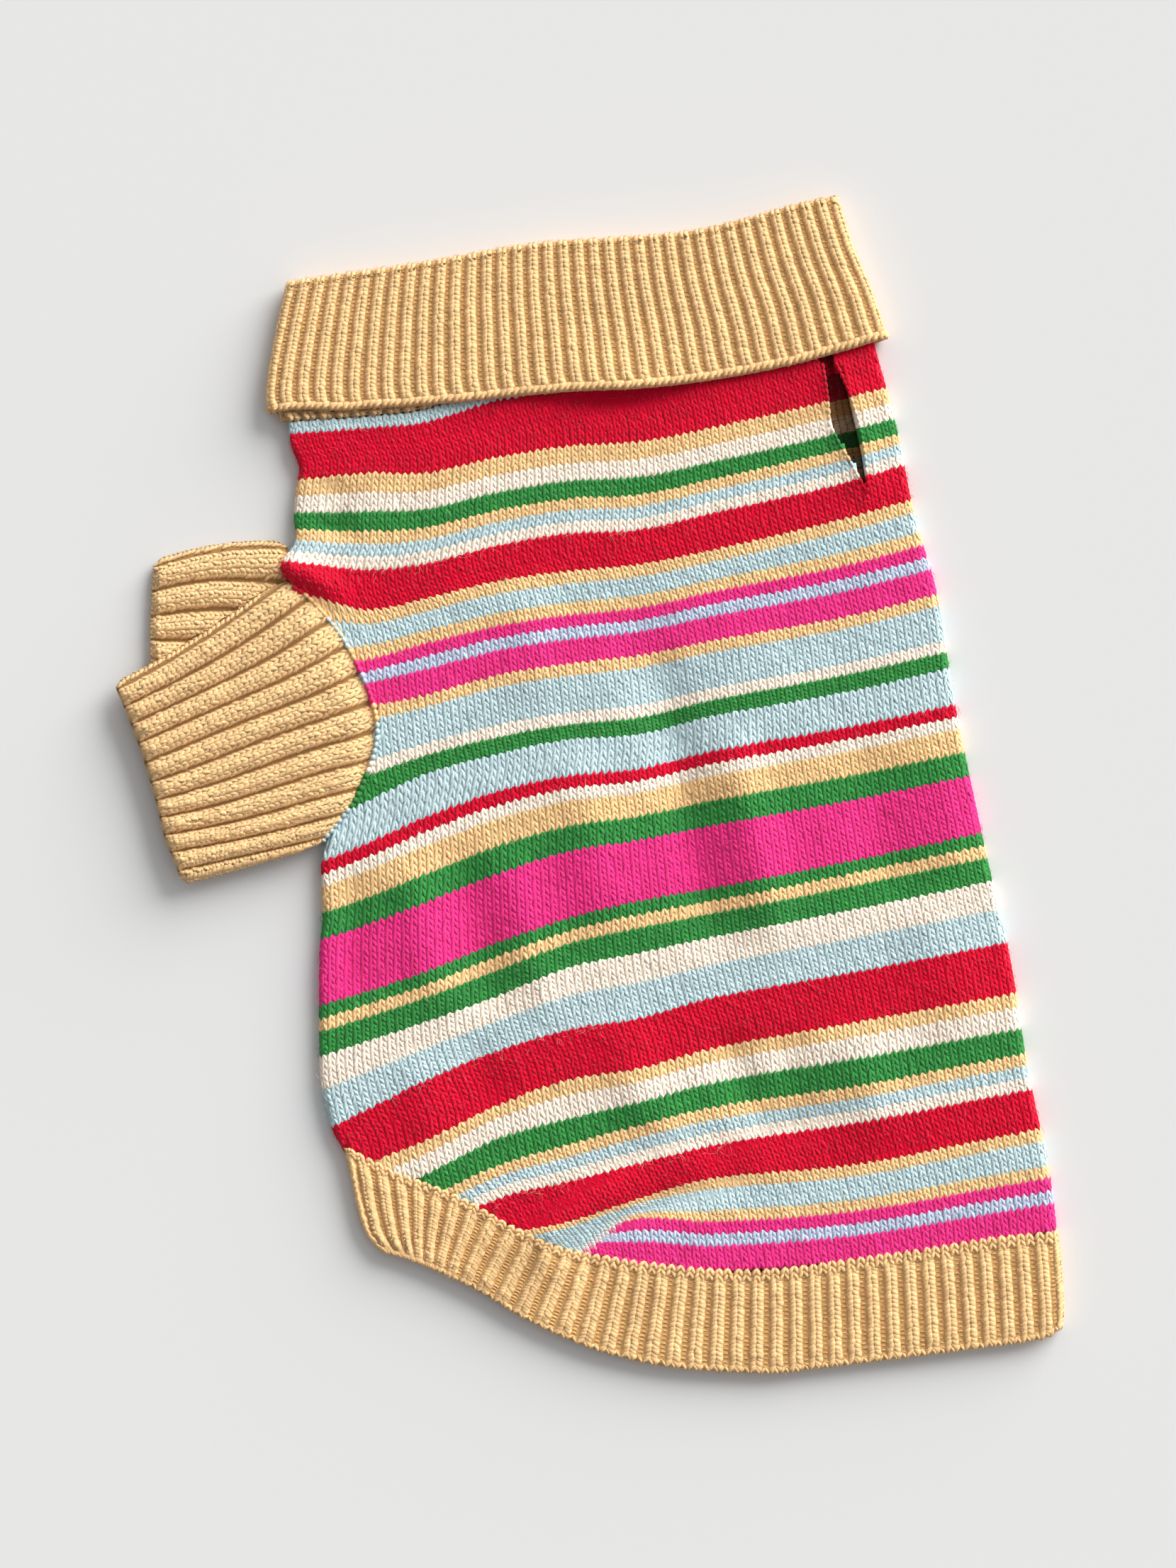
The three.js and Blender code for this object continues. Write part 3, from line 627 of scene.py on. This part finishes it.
def brushedWool(name, settings):
    # Brushed lambswool yarn, knitted: matt and soft, pale where its nap catches the light, with
    # flecks of lighter and darker fibre, drawn coarser than real ones so that they show
    material = bpy.data.materials.new(name)
    material.use_nodes = True
    tree = material.node_tree
    tree.nodes.clear()
    yarn = addNode(tree, "VertexColor", {"layer_name": "yarn"})
    place = addNode(tree, "TexCoord")

    def noise(grainMm, detail, roughness):
        grain = {"Scale": 1000 / grainMm, "Detail": detail, "Roughness": roughness}
        return addNode(tree, "TexNoise", grain, {"Vector": place.outputs["Object"]}).outputs[0]

    def spread(source, low, high):  # noise lies mostly between 0.3 and 0.7
        limits = {"From Min": 0.3, "From Max": 0.7, "To Min": low, "To Max": high}
        return addNode(tree, "MapRange", limits, {"Value": source}).outputs[0]

    def maths(operation, *values):  # each value is a number or another node's socket
        fixed = {i: value for i, value in enumerate(values) if isinstance(value, float)}
        links = {i: value for i, value in enumerate(values) if i not in fixed}
        return addNode(tree, "Math", {"operation": operation, **fixed}, links).outputs[0]

    fibre, cloud = noise(settings["fleckMm"], 2.0, 0.6), noise(settings["cloudMm"], 1.0, 0.5)
    fleck = spread(fibre, settings["fleckDark"], settings["fleckLight"])
    tinted = addNode(tree, "VectorMath", {"operation": "SCALE"},
                     {"Vector": yarn.outputs["Color"],
                      "Scale": maths("MULTIPLY", fleck, spread(cloud, 0.95, 1.04))})
    height = fibre
    if settings.get("knitBump"):
        # the ground shows knit stitches as relief where no stitch of its own lies on it
        uv = addNode(tree, "UVMap", {"uv_map": "knit"})
        column, row = addNode(tree, "SeparateXYZ", None, {"Vector": uv.outputs[0]}).outputs[:2]
        halfColumn = maths("PINGPONG", column, 0.5)
        halfCourse = maths("PINGPONG", maths("MULTIPLY_ADD", halfColumn, 1.2, row), 0.5)
        relief = maths("MULTIPLY_ADD", halfCourse, 1.4, maths("PINGPONG", halfColumn, 0.25))
        height = maths("MULTIPLY_ADD", fibre, 0.4, relief)
    bump = addNode(tree, "Bump",
                   {"Strength": settings["bump"], "Distance": settings["bumpMm"] / 1000},
                   {"Height": height})
    wool = addNode(tree, "BsdfPrincipled",
                   {"Roughness": 0.9, "Specular IOR Level": 0.15, "Sheen Weight": settings["sheen"],
                    "Sheen Roughness": 0.45},
                   {"Base Color": tinted.outputs[0], "Normal": bump.outputs[0]})
    addNode(tree, "OutputMaterial", None, {"Surface": wool.outputs[0]})
    return material


woolLooks = {
    "stitch": {"fleckMm": 0.6, "cloudMm": 9, "fleckDark": 0.86, "fleckLight": 1.12, "bump": 0.28,
               "bumpMm": 0.25, "sheen": 0.10},
    "ground": {"fleckMm": 0.35, "cloudMm": 9, "fleckDark": 0.82, "fleckLight": 1.06, "bump": 0.5,
               "bumpMm": 0.4, "sheen": 0.05, "knitBump": True},
    "hair": {"fleckMm": 1.0, "cloudMm": 9, "fleckDark": 0.95, "fleckLight": 1.05, "bump": 0.1,
             "bumpMm": 0.05, "sheen": 0.15},
}
stripedStitch = brushedWool("brushed wool, striped stitches", woolLooks["stitch"])
stripedGround = brushedWool("brushed wool, striped ground", woolLooks["ground"])
ribStitch = brushedWool("brushed wool, tan rib stitches", woolLooks["stitch"])
ribGround = brushedWool("brushed wool, tan rib ground", dict(woolLooks["ground"], knitBump=False))
woolNap = brushedWool("wool nap", woolLooks["hair"])
print("wool materials made")


body = {
    "columns": 78,   # knitted wales across the near side
    "pitch": 2.9,    # mm, one wale
    "foldColumns": 3.2,  # wales round each fold
    "top": bodyTop, "bottom": bodyBottom,
    # yarn of the stripes and the last course of each, from the collar down
    "stripes": [
        ("blue", 2), ("red", 10), ("tan", 13), ("cream", 16), ("green", 19), ("tan", 21), ("blue", 23),
        ("cream", 25), ("red", 31), ("tan", 33), ("blue", 36), ("tan", 38), ("pink", 40),
        ("lavender", 42), ("pink", 46), ("tan", 48), ("blue", 54), ("cream", 56), ("green", 60),
        ("blue", 65), ("red", 67), ("cream", 69), ("tan", 73), ("green", 77), ("pink", 88),
        ("green", 90), ("tan", 92), ("green", 97), ("cream", 102), ("blue", 108), ("red", 117),
        ("tan", 119), ("cream", 122), ("green", 126), ("tan", 128), ("blue", 130), ("cream", 132),
        ("red", 138), ("tan", 140), ("blue", 144), ("tan", 146), ("pink", 148), ("lavender", 150),
        ("pink", 154), ("tan", 170),
    ],
    "crease": [[-12, -168], [-3.5, -164.5], [1, -161.8], [6, -157.5], [12.5, -152.6], [24, -146]],
    "courses": 154,  # from the neck seam to the longest stripe's end
    "hairs": 9000,
    "seed": 11,
}
stripeEnds = np.array([end for name, end in body["stripes"]], float)
stripeColours = np.array([yarnColours[name] for name, end in body["stripes"]])


def stripeColour(column, course):
    index = np.clip(np.searchsorted(stripeEnds, course - 1e-6), 0, len(stripeEnds) - 1)
    # left of the crease by the hem the cloth folds over the last stripes, and they end along it
    x, y = bodyPlan(np.clip(column / body["columns"], 0, 1), course)
    crease = curve(body["crease"], x)
    folded = (y > crease) & (x < 14) & (course > 144)
    colour = np.where(folded[..., None], yarnColours["blue"], stripeColours[index])
    # painted highlight: along the crease's ridge the stripes turn toward cream, as where the fold catches
    # the light
    pale = 0.55 * fade(2.4, 0.6, np.abs(y - crease - 0.4)) * fade(-10, 0, x) * fade(26, 14, x)
    pale = pale * (course > 143)
    return colour + (yarnColours["cream"] - colour) * pale[..., None]


def courseAt(x, y):  # the course that runs through a place of the plan
    levels = courseHeight(bodyRows[None], np.asarray(x, float)[:, None])
    return np.array([np.interp(-v, -level, bodyRows) for v, level in zip(y, levels)])


def edgeStrands(line, lift, rng, spacing=2.3, halfWidth=0.8):
    # a row of stitches that lies along an edge of the cloth
    line, reach = np.array(line, float), reachAlong(line)
    start = np.arange(0, reach[-1], spacing)
    along = start[:, None] + spacing * np.array([-0.15, 0.2, 0.55, 0.9, 1.25])[None]
    along = along + rng.normal(0, 0.08, (len(start), 1))
    x, y = np.interp(along, reach, line[:, 0]), np.interp(along, reach, line[:, 1])
    z = bodyOver(x, y) + lift + np.array([-0.5, 0.05, 0.2, 0.05, -0.5])
    half = np.array([0, 0.8, 1, 0.8, 0]) * halfWidth * rng.uniform(0.9, 1.1, (len(start), 1))
    centre = np.stack([x, y, z], -1)
    up = np.zeros_like(centre)
    up[..., 2] = 1
    colour = variedColour(stripeAt(x[:, 2], y[:, 2]), rng, 0.05)
    return strandArrays(centre, up, half, half * 0.7, colour)


def lastCourse(u):  # the course at which the jersey meets the hem band
    low, high = np.full(np.shape(u), 90.0), np.full(np.shape(u), 160.0)
    for _ in range(18):
        course = (low + high) / 2
        x, y = bodyPlan(u, course)
        above = y > curve(hemSeam, x)
        low, high = np.where(above, course, low), np.where(above, high, course)
    return low


def armhole(rows, seamInset=1.2):  # outline of a sleeve's hole in the body, out past the chest fold
    seam = alongLine(rows["seam"], np.linspace(-0.02, 1.02, 30))
    inner = [[x - seamInset, y] for x, y in zip(*seam)]
    return inner + [[-104, inner[-1][1]], [-112, inner[0][1]]]


def nearCloth(points, slitOutline, seamGap, underCollar):  # true where the near layer has jersey
    x, y = points[:, 0], points[:, 1]
    return ((y > curve(hemSeam, x) + seamGap) & (y < curve(collarEdge, x) + underCollar)
            & ~insideOf(armhole(nearSleeveRows), x, y) & ~insideOf(slitOutline, x, y))


def tubeColumns(tube, perColumn, turns, farColumns):
    # (u, angle, column counted all round, column of the near side) round a flat tube
    n, fold = tube["columns"], tube["foldColumns"]
    near = [(i / (n * perColumn), 0.0, i / perColumn, i / perColumn) for i in range(n * perColumn + 1)]
    turn = [k / (turns + 1) for k in range(1, turns + 1)]
    spine = [(1.0, math.pi * t, n + fold * t, n + fold * t) for t in turn]
    far = [(1 - i / farColumns, math.pi, n + fold + n * i / farColumns, n * (1 - i / farColumns))
           for i in range(farColumns + 1)]
    chest = [(0.0, math.pi * (1 - t), 2 * n + fold + fold * t, -fold * (1 - t)) for t in turn]
    return near + spine + far + chest


def gridPlaces(columns, rows):  # every column with every row, as two flat arrays
    return [a.ravel().astype(float) for a in np.meshgrid(columns, rows, indexing="ij")]


rng = np.random.default_rng(body["seed"])
limits = lastCourse(np.linspace(0, 1, 201))
bodyCourses = body["courses"]
shellRows = sorted({*range(0, bodyCourses + 1, 2), *[int(end) for end in stripeEnds if end < bodyCourses]})
bodyCloth = tubeShell(
    "body_cloth", body, tubeColumns(body, 1, 5, 70), shellRows, stripedGround, stripeColour,
    holes=[(armhole(nearSleeveRows), middle, 9), (armhole(farSleeveRows), -1, middle), (slit, middle, 9)],
    rowLimit=lambda u: np.interp(u, np.linspace(0, 1, 201), limits))

bodySurface = sampled(body, 4, (-3, 160), 0.5)
# the stitches beside the slit stay a little back from it, where an edge row takes over
slitLeft, slitRight = slit[1:9], slit[8:14]
slitStitched = [[x - 0.9, y] for x, y in slit[:9]] + [[x + 0.9, y] for x, y in slit[9:]]
wale, course = gridPlaces(range(-3, 81), range(0, 156))
centre = bodySurface(wale + 0.5, course + 0.5)
keep = nearCloth(centre, slitStitched, 0.2, 6)
# round the chest fold the sleeves take the place of the stitches
keep &= ~((wale < 0) & (centre[:, 1] < 71) & (centre[:, 1] > legZone["bottom"]))
wale, course = wale[keep], course[keep]
bodyStitches = []
for first, last, name in ((0, 50, "body_stitches_top"), (50, 100, "body_stitches_middle"),
                          (100, 160, "body_stitches_low")):
    band = (course >= first) & (course < last)
    colour = variedColour(stripeColour(wale[band], course[band] + 0.5), rng, 0.045)
    groups = [stitchStrands(bodySurface, knitLeg, wale[band], course[band], colour, rng, mirror=mirror,
                            jitter=0.035, plump=0.19)
              for mirror in (False, True)]
    bodyStitches.append(joinedMesh(name, groups, stripedStitch))


def stripeAt(x, y):
    course = courseAt(x, y)
    left, right = np.interp(course, bodyRows, bodyLeft), np.interp(course, bodyRows, bodyRight)
    return stripeColour((x - left) / (right - left) * body["columns"], course)


armholeX, armholeY = sleevePlan(nearSleeveRows, "seam", np.linspace(0.02, 1, 40), 0.0)
edges = [edgeStrands(line, -0.1, rng) for line in (slitLeft, slitRight)]
edges.append(edgeStrands(np.stack([armholeX - 0.9, armholeY - 0.4], -1), 0.7, rng, halfWidth=1.1))
bodyEdges = joinedMesh("edge_stitches", edges, stripedStitch)

n = body["hairs"]
hairWale, hairCourse = rng.uniform(-3, 81, n), rng.uniform(0, bodyCourses, n)
keep = nearCloth(bodySurface(hairWale, hairCourse), slit, 0, 0)
hairWale, hairCourse = hairWale[keep], hairCourse[keep]
hairs = [fuzzStrands(bodySurface, hairWale, hairCourse, stripeColour(hairWale, hairCourse), rng, lift=0.3)]
# long pale hairs stand over the upper border of three red stripes
for course, first, last, count in ((25.2, 8, 50, 90), (108.2, 2, 32, 60), (132.2, 12, 44, 80)):
    wale = rng.uniform(first, last, count)
    pale = np.repeat((yarnColours["cream"] * np.array([0.95, 0.66, 0.62]))[None], count, 0)
    hairs.append(fuzzStrands(bodySurface, wale, course + rng.normal(0, 0.5, count), pale, rng,
                             length=(1.8, 4.0), lift=0.3, halfWidth=0.035))
bodyFuzz = joinedMesh("body_nap", hairs, woolNap)

# the inside of the far layer, which shows through the slit, is the purl side
inner = dict(body, drop=0.0)
inner["top"] = lambda u, c: bodyBottom(u, c) + np.array([0, 0, cloth["wall"]])
innerSurface = sampled(inner, 0, (-1, 40), 0.5)
wale, course = gridPlaces(range(66, 77), range(0, 36))
# the purl stitches here are darkened to a deep brown: painted shade of the deep slit
colour = variedColour(stripeColour(wale, np.maximum(course + 0.3, 3)) * np.array([0.32, 0.24, 0.17]), rng)
slitGroups = [stitchStrands(innerSurface, purlArc, wale, course + half, colour, rng, width=1.7, lift=0.15)
              for half in (0, 0.5)]
slitPurls = joinedMesh("slit_inside", slitGroups, stripedStitch)
print("body made")


def ribRound(column, floor):  # 0 in the groove between ribs, rounded up to 1 on a rib
    share = column % 1
    d = np.clip((np.minimum(share, 1 - share) - floor) / (0.5 - floor), 0, 1)
    return np.sin(math.pi / 2 * d) ** 0.7


def ribColours(floor, groove, shift=0.0):  # the ground is darkened as painted shade: a little on the ribs, and to a deep brown in the grooves between them
    def colours(column, row):
        crest = ribRound(column + shift, floor)[:, None]
        # painted shade: the ground between the rib stitches at 0.92, and the groove's tint where the rib
        # falls away
        return yarnColours["tan"] * (0.92 * crest + np.array(groove) * (1 - crest))
    return colours


ribs = {
    "height": 0.8,         # mm, in the collar and hem
    "sleeveHeight": 2.08,  # mm
    "narrow": 0.12,        # half of a groove's floor in the collar and hem, as a share of a rib
    "wide": 0.03,          # the same in the sleeves
    "narrowGrooveShade": (0.78, 0.68, 0.53),  # tints of painted shade in their grooves
    "wideGrooveShade": (0.40, 0.31, 0.21),
    "plump": 0.20,         # height of a rib stitch's leg to half its width
    "sleeveShift": 0.12,   # of a rib, so that a whole rib lies along the sleeve's upper fold
}


def tanStitches(n, rng, tint=(1, 1, 1), amount=0.05):
    return variedColour(np.repeat((yarnColours["tan"] * np.array(tint))[None], n, 0), rng, amount)


def roundTheFolds(tube, column):  # true where a column isn't on the underside
    past = np.maximum(-column, column - tube["columns"])
    return past < 0.62 * tube["foldColumns"]


def ribStitches(surface, tube, rowsFrom, rowsTo, knitColumns, floor, rng, width, keepAt=None,
                purls=True, shift=0.0, plump=ribs["plump"]):
    # knit columns along each rib, and purl bumps in the grooves
    groups = []
    step = 1 / tube["courses"]
    rows = np.arange(rowsFrom, rowsTo, step)
    extra = math.ceil(tube["foldColumns"])
    first = floor + 0.035
    size = (1 - 2 * first) / knitColumns

    def places(offset):
        column, row = gridPlaces(np.arange(-extra, tube["columns"] + extra) + offset - shift, rows)
        ok = roundTheFolds(tube, column + size / 2)
        if keepAt is not None:
            ok &= keepAt(column + size / 2, row)
        return column[ok], row[ok]

    for k in range(knitColumns):
        column, row = places(first + size * k)
        colour = tanStitches(len(column), rng)
        for mirror in (False, True):
            groups.append(stitchStrands(surface, knitLeg, column, row, colour, rng, width=width,
                                        stretch=size, rowSize=step, mirror=mirror, jitter=0.02,
                                        plump=plump))
    if purls:
        column, row = places(-first)
        # the purl bumps in the grooves are tinted darker and browner: painted shade
        colour = tanStitches(len(column), rng, (0.84, 0.75, 0.60), 0.08)
        groups.append(stitchStrands(surface, purlArc, column, row, colour, rng, width=0.8,
                                    stretch=2 * first, rowSize=step, jitter=0.02))
    return groups


def plainCourses(surface, tube, rows, perColumn, rng, width=1.0, lift=0.1, path=knitLeg,
                 rowScale=1.0):
    # courses worked plain over all columns, as at a seam or an edge
    groups = []
    extra = tube["foldColumns"] * 0.6
    for at in rows:
        column = np.arange(-extra, tube["columns"] + extra, 1 / perColumn)
        row = np.full(len(column), float(at))
        colour = tanStitches(len(column), rng)
        for mirror in ((False, True) if path is knitLeg else (False,)):
            groups.append(stitchStrands(surface, path, column, row, colour, rng, lift=lift,
                                        width=width, stretch=1 / perColumn, mirror=mirror,
                                        rowSize=rowScale / tube["courses"], jitter=0.03, plump=0.45))
    return groups


# one link of the chain that binds off the collar's edge
chainLink = np.array([
    [-0.25, 0.45, -0.15, 0.0], [0.10, 0.10, 0.25, 1.15], [0.55, -0.30, 0.38, 1.35],
    [1.00, -0.35, 0.20, 1.1], [1.35, 0.05, -0.20, 0.0],
])

collar = {
    "columns": 35,       # ribs across
    "pitch": 5.7,        # mm, one rib
    "foldColumns": 2.2,  # ribs round each side fold
    "courses": 33,       # from the fold to the free edge
    "top": collarTop, "bottom": collarBottom,
    "relief": lambda c, r: (ribs["height"] * ribRound(c, ribs["narrow"]) * fade(1.1, 1.7, r)
                            * fade(2.975, 2.90, r)),
}
collarShellRows = [0, 0.35, 0.7, 0.92] + [1 + k / 8 for k in range(9)] + [2 + k / 18 for k in range(1, 19)]
collarCloth = tubeShell("collar_cloth", collar, tubeColumns(collar, 10, 22, 105), collarShellRows,
                        ribGround, ribColours(ribs["narrow"], ribs["narrowGrooveShade"]))
collarSurface = sampled(collar, 2.5, (1.15, 3.1), 1 / 60, 1 / 12)
collarGroups = ribStitches(collarSurface, collar, 2 - 9 / collar["courses"], 2.93, 1, ribs["narrow"],
                           rng, 1.75)
collarGroups += plainCourses(collarSurface, collar, [2.975], 2.6, rng, width=1.1, lift=0.2,
                             path=chainLink, rowScale=2.2)
collarKnit = joinedMesh("collar_stitches", collarGroups, ribStitch)

# a sliver of the rib's inner layer shows under the collar's edge, beside the chest fold
neck = dict(collar, drop=-cloth["wall"], relief=lambda c, r: 0.5 * ribRound(c, ribs["narrow"]))
neckSurface = sampled(neck, 0, (0, 0.4), 1 / 60, 1 / 12)
neckGroups = ribStitches(neckSurface, neck, 0.0, 0.12, 1, ribs["narrow"], rng, 1.5,
                         keepAt=lambda c, r: (c > 0) & (c < 9))
neckKnit = joinedMesh("neck_rib_stitches", neckGroups, ribStitch)

hem = {
    "columns": 37, "pitch": 6.4, "foldColumns": 1.35, "courses": 23,
    "top": hemTop, "bottom": hemBottom,
    "relief": lambda c, r: (ribs["height"] * ribRound(c, ribs["narrow"]) * fade(0.0, 0.2, r)
                            * fade(0.97, 0.82, r)),
}
hemCloth = tubeShell("hem_cloth", hem, tubeColumns(hem, 10, 12, 111), np.linspace(0, 1, 19), ribGround,
                     ribColours(ribs["narrow"], ribs["narrowGrooveShade"]))
hemSurface = sampled(hem, 1.4, (-0.1, 1.08), 1 / 60, 1 / 12)
hemCourse = 1 / hem["courses"]
hemGroups = ribStitches(hemSurface, hem, 1.5 * hemCourse, 0.95, 1, ribs["narrow"], rng, 1.9)
hemGroups += plainCourses(hemSurface, hem, [-0.7 * hemCourse, 0.5 * hemCourse], 2, rng, width=1.05,
                          lift=0.25, rowScale=1.2)
hemGroups += plainCourses(hemSurface, hem, [0.955], 2, rng, width=0.9, lift=0.0)
hemKnit = joinedMesh("hem_stitches", hemGroups, ribStitch)


def sleeveRelief(column, row):
    return (ribs["sleeveHeight"] * ribRound(column + ribs["sleeveShift"], ribs["wide"])
            * fade(-0.02, 0.10, row) * fade(1.0, 0.95, row))


def knittedSleeve(name, sleeve, shellRows, rowsFrom, keepAt=None):  # its shell, surface and stitches
    shell = tubeShell(name + "_cloth", sleeve, tubeColumns(sleeve, 16, 10, 6 * sleeve["columns"]),
                      np.linspace(0, 1, shellRows), ribGround,
                      ribColours(ribs["wide"], ribs["wideGrooveShade"], ribs["sleeveShift"]))
    surface = sampled(sleeve, 0.7, (-0.05, 1.05), 1 / 60, 1 / 16)
    groups = ribStitches(surface, sleeve, rowsFrom, 0.968, 3, ribs["wide"], rng, 1.1, keepAt,
                         purls=False, shift=ribs["sleeveShift"], plump=0.13)
    return shell, surface, joinedMesh(name + "_stitches", groups, ribStitch)


def clearOfNear(column, row):  # the ribs lie flat where the near sleeve covers the far one
    point = farSleeveTop(np.clip(column / sleeveFar["columns"], 0, 1), row)
    return fade(-2.0, 1.0, point[..., 1] - (70.6 + (point[..., 0] + 105) * 0.64))


sleeveNear = {
    "columns": 10, "pitch": 8.4, "foldColumns": 0.73, "courses": 37,
    "top": nearSleeveTop, "bottom": nearSleeveBottom, "relief": sleeveRelief,
}
sleeveFar = {
    "columns": 8, "pitch": 8.3, "foldColumns": 0.73, "courses": 29,
    "top": farSleeveTop, "bottom": farSleeveBottom,
    "relief": lambda c, r: sleeveRelief(c, r) * clearOfNear(c, r),
}
sleeveNearCloth, nearSurface, sleeveNearKnit = knittedSleeve("sleeve_near", sleeveNear, 31, 0.015)
sleeveFarCloth, farSurface, sleeveFarKnit = knittedSleeve(
    "sleeve_far", sleeveFar, 26, 0.0, keepAt=lambda c, r: clearOfNear(c, r) > 0.1)


def ribFuzz(surface, tube, count, rowRange):  # short hairs over a ribbed piece
    reach = tube["foldColumns"] * 0.6
    column, row = rng.uniform(-reach, tube["columns"] + reach, count), rng.uniform(*rowRange, count)
    return fuzzStrands(surface, column, row, tanStitches(count, rng), rng, length=(0.9, 2.2), lift=0.2,
                       rowSize=1 / tube["courses"])


ribNap = joinedMesh("rib_nap", [
    ribFuzz(collarSurface, collar, 1500, (1.4, 3.0)),
    ribFuzz(hemSurface, hem, 1200, (0, 1.0)),
    ribFuzz(nearSurface, sleeveNear, 500, (0.02, 1.0)),
    ribFuzz(farSurface, sleeveFar, 250, (0.02, 1.0)),
], woolNap)
print("ribbed pieces made")


# in metres, and the lens in millimetres
stage = {"frameHeight": 0.553, "lens": 100.0, "floorSize": 8.0, "centre": (-0.00077, 0.00022)}
bpy.ops.mesh.primitive_plane_add(size=stage["floorSize"], location=(0, 0, 0))
floor = bpy.context.object
floor.name = "white_surface"
paper = bpy.data.materials.new("white board, matt")  # coated board: even and white, no gloss
paper.use_nodes = True
board = paper.node_tree.nodes["Principled BSDF"].inputs
board["Base Color"].default_value = (*linear("#E3E3E3"), 1)
board["Roughness"].default_value = 0.85
board["Specular IOR Level"].default_value = 0.1
floor.data.materials.append(paper)

light = {
    "skyDark": 0.24, "skyBright": 0.95,  # studio light away from the key and toward it
    "keyPower": 5.2, "keyFrom": (0.66, 0.72, 0.34), "keyAngle": 50.0,
}
world = bpy.data.worlds.new("studio")
world.use_nodes = True
sky = world.node_tree
towards = addNode(sky, "TexCoord")
facing = addNode(sky, "VectorMath",
                 {"operation": "DOT_PRODUCT", 1: Vector(light["keyFrom"]).normalized()},
                 {0: towards.outputs["Generated"]})
brightness = addNode(sky, "MapRange",
                     {"From Min": -0.1, "From Max": 1.0, "To Min": light["skyDark"],
                      "To Max": light["skyBright"]},
                     {"Value": facing.outputs["Value"]})
sky.nodes["Background"].inputs["Color"].default_value = (0.985, 0.99, 1.0, 1)
sky.links.new(brightness.outputs[0], sky.nodes["Background"].inputs["Strength"])
bpy.context.scene.world = world
key = bpy.data.lights.new("key", "SUN")  # a wide soft light, high at the upper right
key.energy, key.angle, key.color = light["keyPower"], math.radians(light["keyAngle"]), (1.0, 0.99, 0.97)
keyLamp = newObject("key", key)
keyLamp.location = light["keyFrom"]
keyLamp.rotation_euler = (-Vector(light["keyFrom"])).to_track_quat("-Z", "Y").to_euler()
bpy.context.scene.view_settings.view_transform = "Standard"

cameraData = bpy.data.cameras.new("camera")
cameraData.lens = stage["lens"]
cameraData.sensor_width = 36
camera = newObject("camera", cameraData)  # it looks straight down
camera.location = (*stage["centre"], stage["frameHeight"] * stage["lens"] / cameraData.sensor_width)
bpy.context.scene.camera = camera
print("stage, light and camera set")


# which piece stands for which solid, and the body that it rides on
for piece, node in ((bodyCloth, "body"), (collarCloth, "collar"), (hemCloth, "hem_band"),
                    (sleeveNearCloth, "sleeve_near"), (sleeveFarCloth, "sleeve_far")):
    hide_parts(node)
for piece in [bodyCloth, *bodyStitches, bodyEdges, bodyFuzz, slitPurls]:
    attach(piece, "root")
for piece in (collarCloth, collarKnit, neckKnit, hemCloth, hemKnit, sleeveNearCloth, sleeveNearKnit,
              sleeveFarCloth, sleeveFarKnit, ribNap):
    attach(piece, "root")
